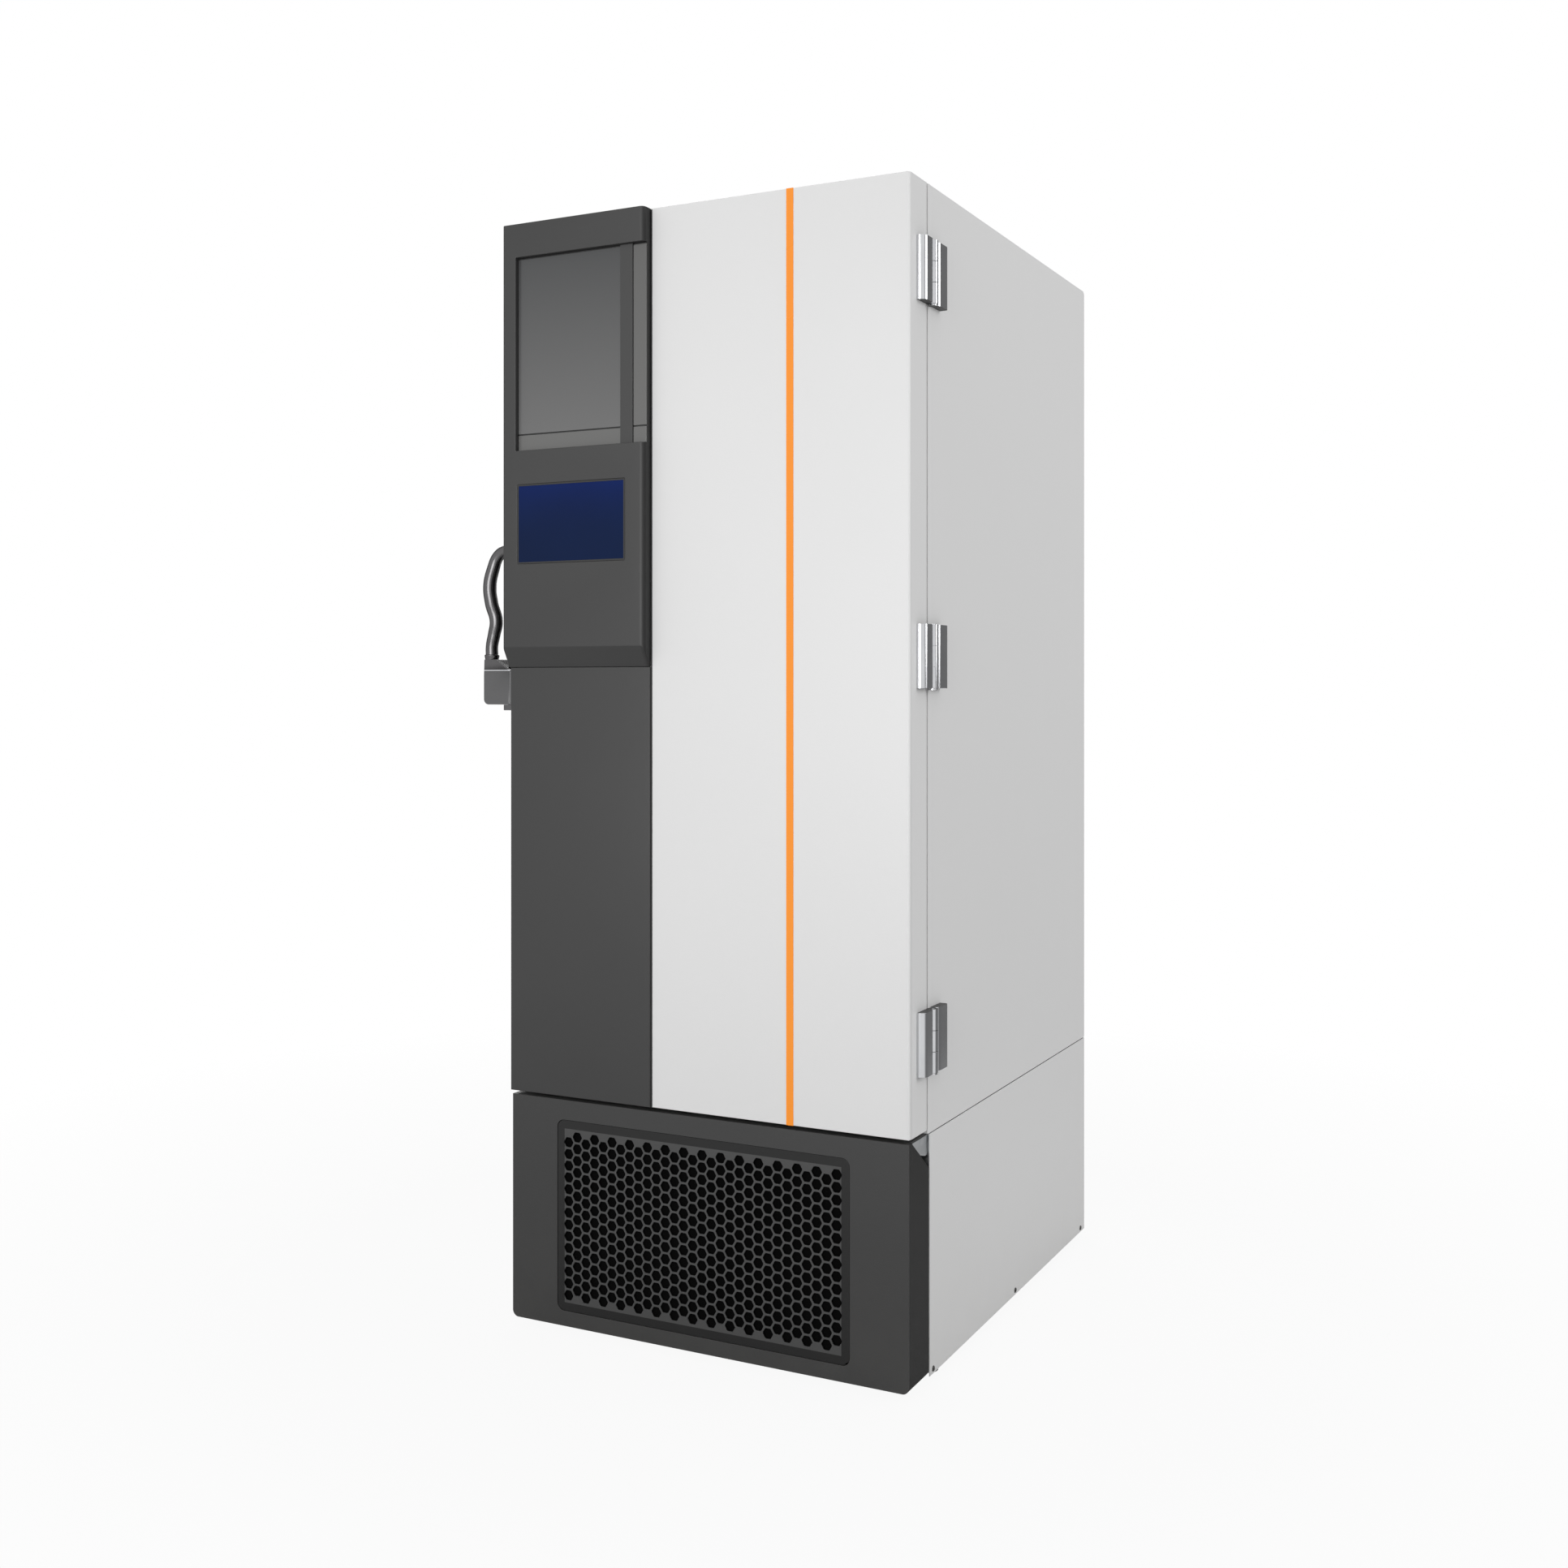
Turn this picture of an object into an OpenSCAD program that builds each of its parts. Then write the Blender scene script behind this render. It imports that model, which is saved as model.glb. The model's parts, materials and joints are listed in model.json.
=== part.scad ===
// Upright ultra low temperature freezer: an insulated cabinet over a refrigeration bay, with a thick outer
// door, a control console on the door's left part, two inner doors and a perforated swing-out base cover.
// The door front looks along -Y, the hinges are at +X and the handle is at -X. The floor is z = 0.
$fn = 64;

/* [Body] */
// Width of the body, side to side
body_w = 775; // [740:5:820]
// Depth of the body, from the door's front to the rear panel
body_d = 945; // [900:5:1000]
// Height of the body above its skirt line
body_h = 1955; // [1900:5:2000]
// Gap between the floor and the skirt line
skirt_gap = 15; // [12:1:20]
// Height of the refrigeration bay
bay_h = 400; // [390:5:430]
// Thickness of the painted outer sheets
sheet_t = 1.5; // [1:0.1:2]
// Joint line between upper and lower side sheets
seam_gap = 2; // [1:0.5:4]
// Thickness of the insulated side walls
wall_t = 145; // [130:5:160]
// Thickness of the insulated roof
roof_t = 140; // [125:5:155]
// Thickness of the insulated floor
floor_t = 140; // [125:5:155]
// Thickness of the insulated rear wall
back_t = 150; // [135:5:170]
// Corner radius of the outer sheets seen from the side
sheet_corner_r = 9; // [4:1:14]

/* [Freezer compartment] */
// Depth of the collar that the inner doors sit in
collar_d = 42; // [38:1:50]
// Step between collar and liner on each side
rebate = 14; // [12:1:18]
// Thickness of the stainless liner
liner_t = 1.5; // [1.2:0.1:2]
// Hairline joint between welded liner plates
weld_gap = 0.2; // [0.1:0.05:0.3]
// Radius of the evaporator tube
coil_r = 4; // [3:0.5:5]
// Evaporator passes on each wall
coil_passes = 8; // [4:2:10]
// Seating clearance of pieces that lie on each other
seat = 0.3; // [0.2:0.05:0.4]
// Width of a shelf pilaster
pilaster_w = 20; // [16:1:26]
// Thickness of a shelf pilaster
pilaster_t = 4; // [3:0.5:5]
// Distance between the slots of a pilaster
slot_pitch = 40; // [30:1:60]
// Thickness of a shelf sheet
shelf_t = 2; // [1.5:0.5:3]
// Height of a shelf's folded lips
shelf_lip = 18; // [12:1:24]

/* [Outer door] */
// Thickness of the outer door
door_t = 73; // [68:1:80]
// Space that the closed door seal fills
gasket_t = 4; // [3:0.5:6]
// Width of the door seal
gasket_w = 18; // [14:1:24]
// Distance of the door seal from the door's edge
gasket_inset = 26; // [20:1:34]
// Gap between the door and the base cover
door_gap = 7; // [5:1:9]
// Radius of the door's front vertical edges
door_edge_r = 4; // [2:1:8]
// Thickness of the door's inner liner
door_liner_t = 3; // [2:0.5:4]
// Distance of the accent strip's left edge from the body's left side
strip_x = 555; // [500:1:620]
// Width of the accent strip
strip_w = 13; // [8:1:18]
// Thickness of the accent strip
strip_t = 0.8; // [0.5:0.1:1.2]

/* [Console] */
// Width of the dark column on the door's left part
column_w = 292; // [280:1:310]
// How far the console stands proud of the door's front
console_proud = 24; // [20:1:30]
// How far the lower panel stands proud of the door's front
panel_proud = 4; // [3:0.5:6]
// Height of the console, down from the body's top
console_h = 789; // [740:1:820]
// Height of the sloped underside of the console
console_slope_h = 36; // [24:2:50]
// Wall of the console moulding
console_wall = 3; // [2.5:0.5:4]
// Width of the bar left of the window
window_bar = 27; // [20:1:34]
// Height of the bar above the window
window_top_bar = 60; // [50:2:80]
// Height of the window
window_h = 344; // [300:2:380]
// How far the window panes are set back
window_depth = 9; // [6:1:12]
// Left edge of the window's upright band, from the column's left side
mullion_x = 243; // [220:1:250]
// Width of the window's upright band
mullion_w = 25; // [18:1:30]
// Height of the light strip at the window's foot
sill_h = 30; // [20:1:40]
// Left edge of the touch screen, from the column's left side
screen_x = 32; // [24:1:40]
// Width of the touch screen
screen_w = 224; // [200:1:236]
// Height of the touch screen
screen_h = 140; // [120:1:150]
// Distance from the window down to the touch screen
screen_drop = 61; // [50:1:80]

/* [Hinges] */
// Height of a hinge
hinge_h = 104; // [90:1:120]
// Height of the lowest hinge's lower end above the refrigeration bay
hinge_rise = 102; // [70:1:140]
// Distance from the body's top down to the highest hinge's lower end
hinge_drop = 199; // [160:1:240]
// Distance of the hinge axis outside the body's side
hinge_out = 9; // [8.8:0.1:10]
// Radius of a hinge knuckle
knuckle_r = 8.5; // [7:0.1:8.6]
// Radius of a hinge pin
hinge_pin_r = 4; // [3:0.1:5]
// Radial clearance of turning pins
pin_clear = 0.05; // [0.02:0.01:0.08]
// How far the hinge covers stand out
lobe_h = 15; // [12:1:16]
// Radius of the hinge covers' front edges
lobe_front_r = 13; // [9:1:14]
// Radius of the hinge covers' rear edges
lobe_rear_r = 6; // [4:1:8]
// Depth where the door's hinge cover starts
door_lobe_y = 30; // [26:1:34]
// Length of the door's hinge cover
door_lobe_w = 36; // [30:1:38]
// Length of the cabinet's hinge cover
cabinet_lobe_w = 44; // [40:1:60]

/* [Handle] */
// Height of the grip's top above the skirt line
grip_top = 1389; // [1360:1:1400]
// Radius of the grip bar
bar_r = 11; // [9:0.5:12]
// Farthest reach of the grip's centre line from the door's side
bar_out = 65; // [60:1:70]
// Depth of the grip's centre line behind the door's front
bar_y = 24; // [20:1:28]
// Radius of the grip's long bow
bow_r = 182; // [160:1:200]
// Half the angle of the lower part of the bow
bow_low = 18.6; // [14:0.1:20]
// Half the angle of the upper part of the bow
bow_high = 27; // [24:0.5:28]
// Radius of the grip's reverse bend
neck_r = 60; // [50:1:70]
// Angle that the reverse bend turns past the upright
neck_turn = 14; // [10:1:18]
// Radius of the bend above the foot block
foot_bend_r = 36; // [30:1:50]
// Straight length of the grip above the foot block
grip_straight = 5; // [2:1:20]
// Difference in radius between neighbouring stretches of the grip
grip_step = 0.3; // [0.2:0.1:0.5]
// Length by which a thinner stretch runs into a thicker one
grip_lap = 1.5; // [1:0.5:3]
// Radius of the bend at the grip's top
elbow_r = 16; // [14:1:20]
// Height of the grip's foot block
block_h = 82; // [76:1:90]
// Reach of the foot block from the door's side
block_out = 68; // [64:1:70]
// Depth of the foot block, front to back
block_d = 48; // [40:1:50]
// Radius of the foot block's lower outer corner
block_corner = 10; // [6:1:14]
// Height over which the foot block's top narrows to the grip
socket_h = 28; // [20:1:34]
// Wall of the socket round the grip's foot
socket_wall = 4; // [3:0.5:6]
// Distance of the handle's pivot from the door's side
pivot_out = 16; // [15:0.5:18]
// Depth of the handle's pivot behind the door's front
pivot_y = 22; // [20:1:24]
// Radius of the handle's hubs
pivot_hub_r = 12; // [10:0.5:12]
// Radius of the handle's pivot pins
pivot_pin_r = 5; // [4:0.5:6]
// Height of the handle's upper hub
upper_hub_h = 35; // [28:1:40]
// Radius of the lock barrel
lock_r = 9; // [7:0.5:10]

/* [Base cover] */
// Depth of the base cover's sides
cover_d = 84; // [78:1:84]
// Gap between the base cover and the lower side panel
cover_gap = 2; // [1.5:0.5:4]
// Wall of the base cover
cover_t = 3; // [2.5:0.5:4]
// Radius of the base cover's lower corners
cover_corner = 12; // [8:1:18]
// Left edge of the grille panel, from the body's left side
grille_x = 100; // [90:1:110]
// Width of the grille panel
grille_w = 570; // [540:1:580]
// Height of the grille panel's lower edge above the skirt line
grille_z = 27; // [22:1:32]
// Height of the grille panel
grille_h = 338; // [320:1:345]
// Thickness of the grille panel
grille_t = 2.5; // [2:0.5:4]
// Plain margin around the grille's holes
grille_margin = 11; // [8:1:16]
// Distance between neighbouring grille holes
hole_pitch = 20.8; // [18:0.2:24]
// Width of the web between grille holes
hole_web = 4; // [3:0.2:5]
// Thickness of the air filter
filter_t = 12; // [8:1:16]
// Upright length of the bevel at the cover's hinge corner
bevel_h = 56; // [50:1:60]
// Level length of the bevel at the cover's hinge corner
bevel_d = 70; // [60:1:70]
// Distance of the cover's pivot from the body's side
cover_pivot_x = 13; // [12:0.5:14]
// Depth of the cover's pivot
cover_pivot_y = 70; // [66:1:72]
// Radius of the cover's pivot pins
cover_pin_r = 3; // [2.5:0.1:3.5]

/* [Refrigeration bay] */
// Height of the base pan's underside above the floor
pan_z = 104; // [104:1:110]
// Thickness of the base pan
pan_t = 3; // [2:0.5:4]
// Width of a frame rail
rail_w = 40; // [34:1:44]
// Height of a frame rail
rail_h = 30; // [24:1:32]
// Wall of the frame rails and posts
rail_t = 3; // [2.5:0.5:4]
// Leg length of a corner post
post_w = 30; // [26:1:34]
// Radius of a compressor's shell
compressor_r = 88; // [76:1:92]
// Height of a compressor's shell
compressor_h = 205; // [180:1:220]
// Height of a compressor's rubber grommets
grommet_h = 16; // [12:1:20]
// Distance between the axes of the two compressors
compressor_pitch = 290; // [250:5:310]
// Distance of the heat exchanger from the body's left side
exchanger_inset = 60; // [50:1:70]
// Depth of the heat exchanger
exchanger_d = 150; // [130:5:160]
// Height of the heat exchanger's foamed box
exchanger_h = 210; // [180:5:220]
// Space between the heat exchanger and the rear
exchanger_rear = 135; // [120:1:150]
// Space between the heat exchanger and the backup battery
exchanger_gap = 75; // [60:1:90]
// Length of the heat exchanger's two stubs
stub_h = 26; // [20:1:32]
// Height of the oil separator
separator_h = 180; // [150:5:190]
// Radius of the oil separator
separator_r = 30; // [24:1:32]
// Length of the filter drier
drier_l = 110; // [90:5:130]
// Radius of the filter drier
drier_r = 16; // [12:1:18]
// Distance of the control box from the body's right side
control_inset = 70; // [60:1:80]
// Width of the control box
control_w = 250; // [230:5:260]
// Depth of the control box
control_d = 190; // [170:5:200]
// Height of the control box below its lid
control_h = 150; // [130:5:170]
// Space between the control box and the rear
control_rear = 75; // [60:1:90]
// Width of the backup battery
battery_w = 66; // [60:1:70]
// Depth of the backup battery
battery_d = 150; // [130:5:150]
// Height of the backup battery
battery_h = 94; // [80:1:100]
// Space between the backup battery and the control box
battery_gap = 14; // [10:1:20]
// Thickness of the condenser block
condenser_d = 45; // [36:1:55]
// Radius of the fan blades
fan_r = 90; // [80:1:92]
// Number of fan blades
fan_blades_n = 5; // [3:1:7]
// Radius of the fan motor
motor_r = 32; // [26:1:36]
// Radius of the refrigerant pipes
pipe_r = 5; // [4:0.5:6]

/* [Casters and feet] */
// Radius of a caster wheel
wheel_r = 37.5; // [35:0.5:38]
// Width of a caster wheel
wheel_w = 28; // [24:1:30]
// Distance between a caster's kingpin and its axle
caster_trail = 22; // [18:1:26]
// Radius of a caster's axle
axle_r = 4; // [3.5:0.1:5]
// Radius of a caster's kingpin
kingpin_r = 6; // [5:0.5:7]
// Distance of the casters from the body's sides
caster_inset = 130; // [120:1:150]
// Radius of a levelling foot's pad
foot_r = 19; // [18:1:23]
// Radius of a levelling foot's stem
foot_stem_r = 8; // [6:0.5:9]
// Distance of the levelling feet from the body's sides
foot_inset = 31; // [28:1:34]

/* [Rear] */
// Distance of the first screw from the side panel's front edge
screw_front = 15; // [12:1:20]
// Distance of the last screw from the rear
screw_rear = 27; // [20:1:32]
// Thickness of the rear bumpers that keep the wall away
bumper_t = 40; // [30:1:50]

/* [Hidden] */
handle_reach = bar_out + bar_r;
hinge_reach = hinge_out + knuckle_r;
overall_w = handle_reach + body_w + hinge_reach;
overall_d = console_proud + body_d + bumper_t;
left_x = -overall_w / 2 + handle_reach;
right_x = left_x + body_w;
front_y = -overall_d / 2 + console_proud;
rear_y = front_y + body_d;
top_z = skirt_gap + body_h;
bay_top = skirt_gap + bay_h;
pan_top = pan_z + pan_t;
cab_y = front_y + door_t + gasket_t;
door_z = bay_top + door_gap;
// collar opening in the cabinet's front, and the liner's inner faces behind it
flange_y = cab_y + collar_d;
lin_x0 = left_x + wall_t;
lin_x1 = right_x - wall_t;
lin_y1 = rear_y - back_t;
lin_z0 = bay_top + floor_t;
lin_z1 = top_z - roof_t;
lin_mid = (lin_z0 + lin_z1) / 2;
col_x0 = lin_x0 - rebate;
col_x1 = lin_x1 + rebate;
col_z0 = lin_z0 - rebate;
col_z1 = lin_z1 + rebate;
coil_gap = 2 * (coil_r + seat);
flange_grip = 12;
// inner doors
inner_t = 26;
inner_seal_t = 4;
inner_side_gap = 3;
inner_end_gap = 6;
inner_mid_gap = 10;
inner_y = flange_y - seat - inner_seal_t - inner_t;
inner_axis_x = col_x1 - inner_side_gap - 9;
inner_axis_y = inner_y + 5;
inner_pin_r = 3;
inner_pin_len = 12;
// hinge axis of the outer door
axis_x = right_x + hinge_out;
axis_y = cab_y;
knuckle_gap = 0.8;
hinge_z0 = bay_top + hinge_rise;
hinge_z1 = top_z - hinge_drop;
hinge_zs = [hinge_z0, (hinge_z0 + hinge_z1) / 2, hinge_z1];
// handle pivot and grip
pivot_x = left_x - pivot_out;
pivot_ya = front_y + pivot_y;
plate_t = 3;
grip_y = front_y + bar_y;
hub_z1 = skirt_gap + grip_top;
hub_z0 = hub_z1 + 1.5 - upper_hub_h;
// Centre line of the grip in X and Z: the bow, the top elbow, the reverse bend and the bend above the block
bow_x = left_x - bar_out + bow_r;
bow_z = hub_z1 - bar_r - elbow_r * (1 - sin(bow_high)) - bow_r * sin(bow_high);
elbow_x = bow_x - (bow_r - elbow_r) * cos(bow_high);
elbow_z = hub_z1 - bar_r - elbow_r;
neck_x = bow_x - (bow_r + neck_r) * cos(bow_low);
neck_z = bow_z - (bow_r + neck_r) * sin(bow_low);
foot_bend_x = neck_x + (neck_r + foot_bend_r) * cos(neck_turn);
foot_bend_z = neck_z - (neck_r + foot_bend_r) * sin(neck_turn);
block_z1 = foot_bend_z - grip_straight - seat;
block_z0 = block_z1 - block_h;
// base cover
cover_x0 = left_x + 4;
cover_x1 = right_x - 1;
cover_ax = right_x - cover_pivot_x;
cover_ay = front_y + cover_pivot_y;
grille_x0 = left_x + grille_x;
grille_z0 = skirt_gap + grille_z;
lug_w = 15;
lug_h = 20;
lug_zs = [pan_top + 24, bay_top - bevel_h - 50];
// bay
bay_y = front_y + cover_d + 8;
bay_x = left_x + 112;
bay_w = body_w - 225;
bay_block_h = bay_top - pan_top - 24;
fan_x = bay_x + bay_w / 2;
fan_z = pan_top + bay_block_h / 2;
condenser_y = bay_y + 18;
shroud_y = condenser_y + condenser_d + seat;
fan_y = shroud_y + 8;
caster_xs = [left_x + caster_inset, right_x - caster_inset];
caster_ys = [front_y + 185, rear_y - 110];
caster_plate_t = 4;
fork_top = pan_z - caster_plate_t - seat;
foot_y = front_y + 150;
inlet_x = right_x - 110;
inlet_z = skirt_gap + 200;
foot_xs = [left_x + foot_inset, right_x - foot_inset];
screw_y0 = cover_d + cover_gap + screw_front;
screw_y1 = body_d - screw_rear;
screw_ys = [screw_y0, (screw_y0 + screw_y1) / 2, screw_y1];
louvre_x = left_x + 90;
louvre_pitch = (inlet_x - 115 - louvre_x) / 5;
// what stands on the pan at the rear, and the compressors between it and the fan's motor
motor_y = fan_y + 34;
motor_l = 62;
control_x = right_x - control_inset - control_w;
control_y = rear_y - control_rear - control_d;
battery_x = control_x - battery_gap - battery_w;
exchanger_x = left_x + exchanger_inset;
exchanger_w = battery_x - exchanger_gap - exchanger_x;
exchanger_y = rear_y - exchanger_rear - exchanger_d;
exchanger_top = pan_top + seat + exchanger_h + stub_h;
stub_xs = [exchanger_x + exchanger_w / 4, exchanger_x + exchanger_w * 3 / 4];
stub_y = exchanger_y + exchanger_d / 2;
bay_mid = (left_x + right_x) / 2;
compressor_xs = [bay_mid - compressor_pitch / 2, bay_mid + compressor_pitch / 2];
compressor_y = (motor_y + motor_l + exchanger_y) / 2;
compressor_top = pan_top + grommet_h + 6 + compressor_h;
// window, panes and screen of the console
console_x0 = left_x - 1;
console_x1 = left_x + column_w + 2;
console_z0 = top_z - console_h;
console_front = front_y - console_proud;
window_z1 = top_z - window_top_bar;
window_z0 = window_z1 - window_h;
window_x0 = left_x + window_bar;
pane_y = console_front + window_depth;
pane_t = 3;
screen_z1 = window_z0 - screen_drop;
screen_z0 = screen_z1 - screen_h;
// vacuum panels, shelves, switch
vip_t = 25;
vip_inset = 60;
shelf_zs = [for (i = [1 : 3]) lin_z0 + i * (lin_z1 - lin_z0) / 4];
shelf_ys = [flange_y + 90, lin_y1 - 90];
rocker_tilt = 9;

// Shapes used by several sub-parts

// A block between two corners
module block(x0, x1, y0, y1, z0, z1) {
  translate([x0, y0, z0]) cube([x1 - x0, y1 - y0, z1 - z0]);
}

// A flat rectangle with one radius at each corner, from its lower left corner
module round_rect(w, h, r) {
  translate([r, 0]) square([w - 2 * r, h]);
  translate([0, r]) square([w, h - 2 * r]);
  for (x = [r, w - r], y = [r, h - r]) translate([x, y]) circle(r);
}

// A flat outline in X and Z, given thickness t backwards from y
module front_plate(y, t) {
  translate([0, y + t, 0]) rotate([90, 0, 0]) linear_extrude(t) children();
}

// A flat outline in Y and Z, given thickness t towards +X from x
module side_plate(x, t) {
  translate([x, 0, 0]) rotate([90, 0, 90]) linear_extrude(t) children();
}

// A straight round rod between two points
module rod(a, b, r) {
  d = b - a;
  l = norm(d);
  translate(a) rotate([0, acos(d[2] / l), atan2(d[1], d[0])]) cylinder(h = l, r = r);
}

// A pipe along points, with a ball at every bend
module pipe(points, r) {
  for (i = [0 : len(points) - 2]) rod(points[i], points[i + 1], r);
  for (i = [1 : len(points) - 2]) translate(points[i]) sphere(r);
}

// Base: pan, frame and casters

module base_pan() color("gainsboro") {
  difference() {
    block(left_x + sheet_t, right_x - sheet_t, bay_y, rear_y - sheet_t, pan_z, pan_top);
    for (x = foot_xs) translate([x, foot_y, pan_z - 1]) cylinder(h = pan_t + 2, r = foot_stem_r + 1.5);
  }
}

module frame_tube(l) {
  difference() {
    cube([rail_w, l, rail_h]);
    translate([rail_t, -1, rail_t]) cube([rail_w - 2 * rail_t, l + 2, rail_h - 2 * rail_t]);
  }
}

module corner_post(x, y, mx, my) {
  translate([x, y, pan_top]) mirror([mx, 0, 0]) mirror([0, my, 0]) linear_extrude(bay_top - pan_top) {
    square([post_w, rail_t]);
    square([rail_t, post_w]);
  }
}

module base_frame() color("silver") {
  rail_y0 = bay_y;
  rail_y1 = rear_y - 12;
  xs = [left_x + 6, right_x - 6 - rail_w];
  for (i = [0, 1]) difference() {
    translate([xs[i], rail_y0, pan_z - rail_h]) frame_tube(rail_y1 - rail_y0);
    translate([foot_xs[i], foot_y, pan_z - rail_h - 1]) cylinder(h = rail_h + 2, r = foot_stem_r + pin_clear);
  }
  for (y = [rail_y0 + 4, rail_y1 - 24])
    block(xs[0] + rail_w + weld_gap, xs[1] - weld_gap, y, y + 20, pan_z - rail_h, pan_z);
  corner_post(left_x + 3, bay_y + 1, 0, 0);
  corner_post(left_x + 3, rear_y - 4, 0, 1);
  corner_post(right_x - 3, rear_y - 4, 1, 1);
}

module cover_hinge_brackets() color("darkgray") {
  post_x = cover_ax - 32;
  translate([0, 0, pan_top]) linear_extrude(bay_top - pan_top) {
    translate([post_x, bay_y + 1]) square([right_x - 3 - post_x, rail_t]);
    translate([right_x - 3 - rail_t, bay_y + 1]) square([rail_t, post_w]);
  }
  // gusset that shows behind the bevelled corner of the base cover
  gusset_z1 = bay_top - cover_t - 0.5;
  side_plate(cover_x1 - cover_t - rail_t - 0.5, rail_t)
    polygon([[front_y + 16, gusset_z1], [bay_y + 2, gusset_z1], [bay_y + 2, bay_top - 36],
             [bay_y - 16, bay_top - 36], [front_y + 16, bay_top - 20]]);
  // a tab and an upright pin under each lug of the cover
  for (z = lug_zs) {
    block(cover_ax - 30, cover_ax + 6, cover_ay - 6, cover_ay + 4, z - seat - rail_t, z - seat);
    block(cover_ax - 30, cover_ax - 20, cover_ay - 6, bay_y + 2, z - seat - rail_t, z - seat);
    translate([cover_ax, cover_ay, z - seat - rail_t]) cylinder(h = lug_h - 2, r = cover_pin_r);
  }
}

module lower_side_panels() color("lightgray") {
  for (x = [left_x, right_x - sheet_t]) side_plate(x, sheet_t)
    difference() {
      translate([front_y + cover_d + cover_gap, skirt_gap])
        square([body_d - cover_d - cover_gap, bay_h - seam_gap]);
      for (y = screw_ys) translate([front_y + y, skirt_gap + 8]) circle(2.2);
    }
}

module panel_screws() color("dimgray") {
  for (s = [-1, 1], y = screw_ys) {
    x = s < 0 ? left_x : right_x;
    translate([x, front_y + y, skirt_gap + 8]) rotate([0, 90 * s, 0]) difference() {
      union() {
        cylinder(h = 1.4, r1 = 5, r2 = 4);
        translate([0, 0, -8]) cylinder(h = 8.5, r = 1.9);
      }
      translate([0, 0, 0.7]) cylinder(h = 2, r = 2.2, $fn = 6);
    }
  }
}

module rear_service_panel() color("lightgray") {
  front_plate(rear_y - sheet_t, sheet_t) difference() {
    translate([left_x + sheet_t, skirt_gap]) square([body_w - 2 * sheet_t, bay_h - seam_gap]);
    for (row = [0 : 8], column = [0 : 4])
      translate([louvre_x + column * louvre_pitch, skirt_gap + 70 + row * 30])
        round_rect(louvre_pitch - 16, 9, 4.4);
    translate([inlet_x - 25, inlet_z - 16]) square([50, 32]);
    translate([inlet_x - 62, inlet_z - 11]) square([24, 22]);
  }
}

module caster_plates() color("silver") {
  for (x = caster_xs, y = caster_ys) {
    translate([x - 45, y - 35, pan_z - caster_plate_t]) linear_extrude(caster_plate_t) round_rect(90, 70, 8);
    translate([x, y, pan_z - caster_plate_t - 12]) cylinder(h = 13, r = kingpin_r);
  }
}

module caster_fork(i) color("silver") {
  x = caster_xs[i % 2];
  y = caster_ys[floor(i / 2)];
  leg_x = wheel_w / 2 + 1.5;
  leg_t = 3;
  difference() {
    translate([x, y, fork_top - 7]) cylinder(h = 7, r = 26);
    translate([x, y, fork_top - 9]) cylinder(h = 10, r = kingpin_r + pin_clear);
  }
  for (s = [-1, 1]) side_plate(x + s * (leg_x + leg_t / 2) - leg_t / 2, leg_t) {
    polygon([[y - 19, fork_top - 5], [y + 19, fork_top - 5], [y + caster_trail + 11, wheel_r + 3],
             [y + caster_trail - 11, wheel_r - 3]]);
    translate([y + caster_trail, wheel_r]) circle(11);
  }
  translate([x, y + caster_trail, wheel_r]) rotate([0, 90, 0])
    cylinder(h = 2 * (leg_x + leg_t) + 3, r = axle_r, center = true);
}

module caster_wheel(i) color([0.16, 0.16, 0.17]) {
  x = caster_xs[i % 2];
  y = caster_ys[floor(i / 2)] + caster_trail;
  translate([x, y, wheel_r]) rotate([0, 90, 0]) rotate_extrude() {
    bore = axle_r + pin_clear;
    translate([bore, -wheel_w / 2]) square([8, wheel_w]);
    translate([bore, -4]) square([wheel_r - bore - 10, 8]);
    translate([wheel_r - 12, -wheel_w / 2 + 3]) square([9, wheel_w - 6]);
    intersection() {
      translate([wheel_r - 30, 0]) circle(30, $fn = 96);
      translate([wheel_r - 12, -wheel_w / 2 + 3]) square([12, wheel_w - 6]);
    }
  }
}

module levelling_foot(i) color([0.2, 0.2, 0.2]) {
  translate([foot_xs[i], foot_y, 0]) {
    rotate_extrude() polygon([[0, 0], [foot_r, 0], [foot_r, 6], [foot_stem_r + 4, 14], [0, 14]]);
    translate([0, 0, 12]) cylinder(h = pan_top + 6 - 12, r = foot_stem_r);
    translate([0, 0, 13]) cylinder(h = 12, r = 13, $fn = 6);
  }
}

// Cabinet

// Outline of a cabinet side in Y and Z, with the rounded upper rear corner
module cabinet_side() {
  translate([cab_y, bay_top]) square([rear_y - cab_y, body_h - bay_h - sheet_corner_r]);
  translate([cab_y, bay_top]) square([rear_y - cab_y - sheet_corner_r, body_h - bay_h]);
  translate([rear_y - sheet_corner_r, top_z - sheet_corner_r]) circle(sheet_corner_r);
}

module outer_shell() color("lightgray") {
  for (x = [left_x, right_x - sheet_t]) side_plate(x, sheet_t) cabinet_side();
  block(left_x + sheet_t + weld_gap, right_x - sheet_t - weld_gap, cab_y, rear_y - sheet_corner_r - weld_gap,
    top_z - sheet_t, top_z);
}

module rear_panel() color("gainsboro") {
  // a flat sheet whose upper edge rolls over to meet the roof
  side_plate(left_x + sheet_t + weld_gap, body_w - 2 * (sheet_t + weld_gap)) {
    translate([rear_y - sheet_t, bay_top]) square([sheet_t, body_h - bay_h - sheet_corner_r]);
    translate([rear_y - sheet_corner_r, top_z - sheet_corner_r]) intersection() {
      difference() {
        circle(sheet_corner_r);
        circle(sheet_corner_r - sheet_t);
      }
      square(sheet_corner_r + 1);
    }
  }
}

module cabinet_floor() color("gainsboro") {
  block(left_x + sheet_t, right_x - sheet_t, cab_y, rear_y - sheet_t, bay_top, bay_top + sheet_t);
}

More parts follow.
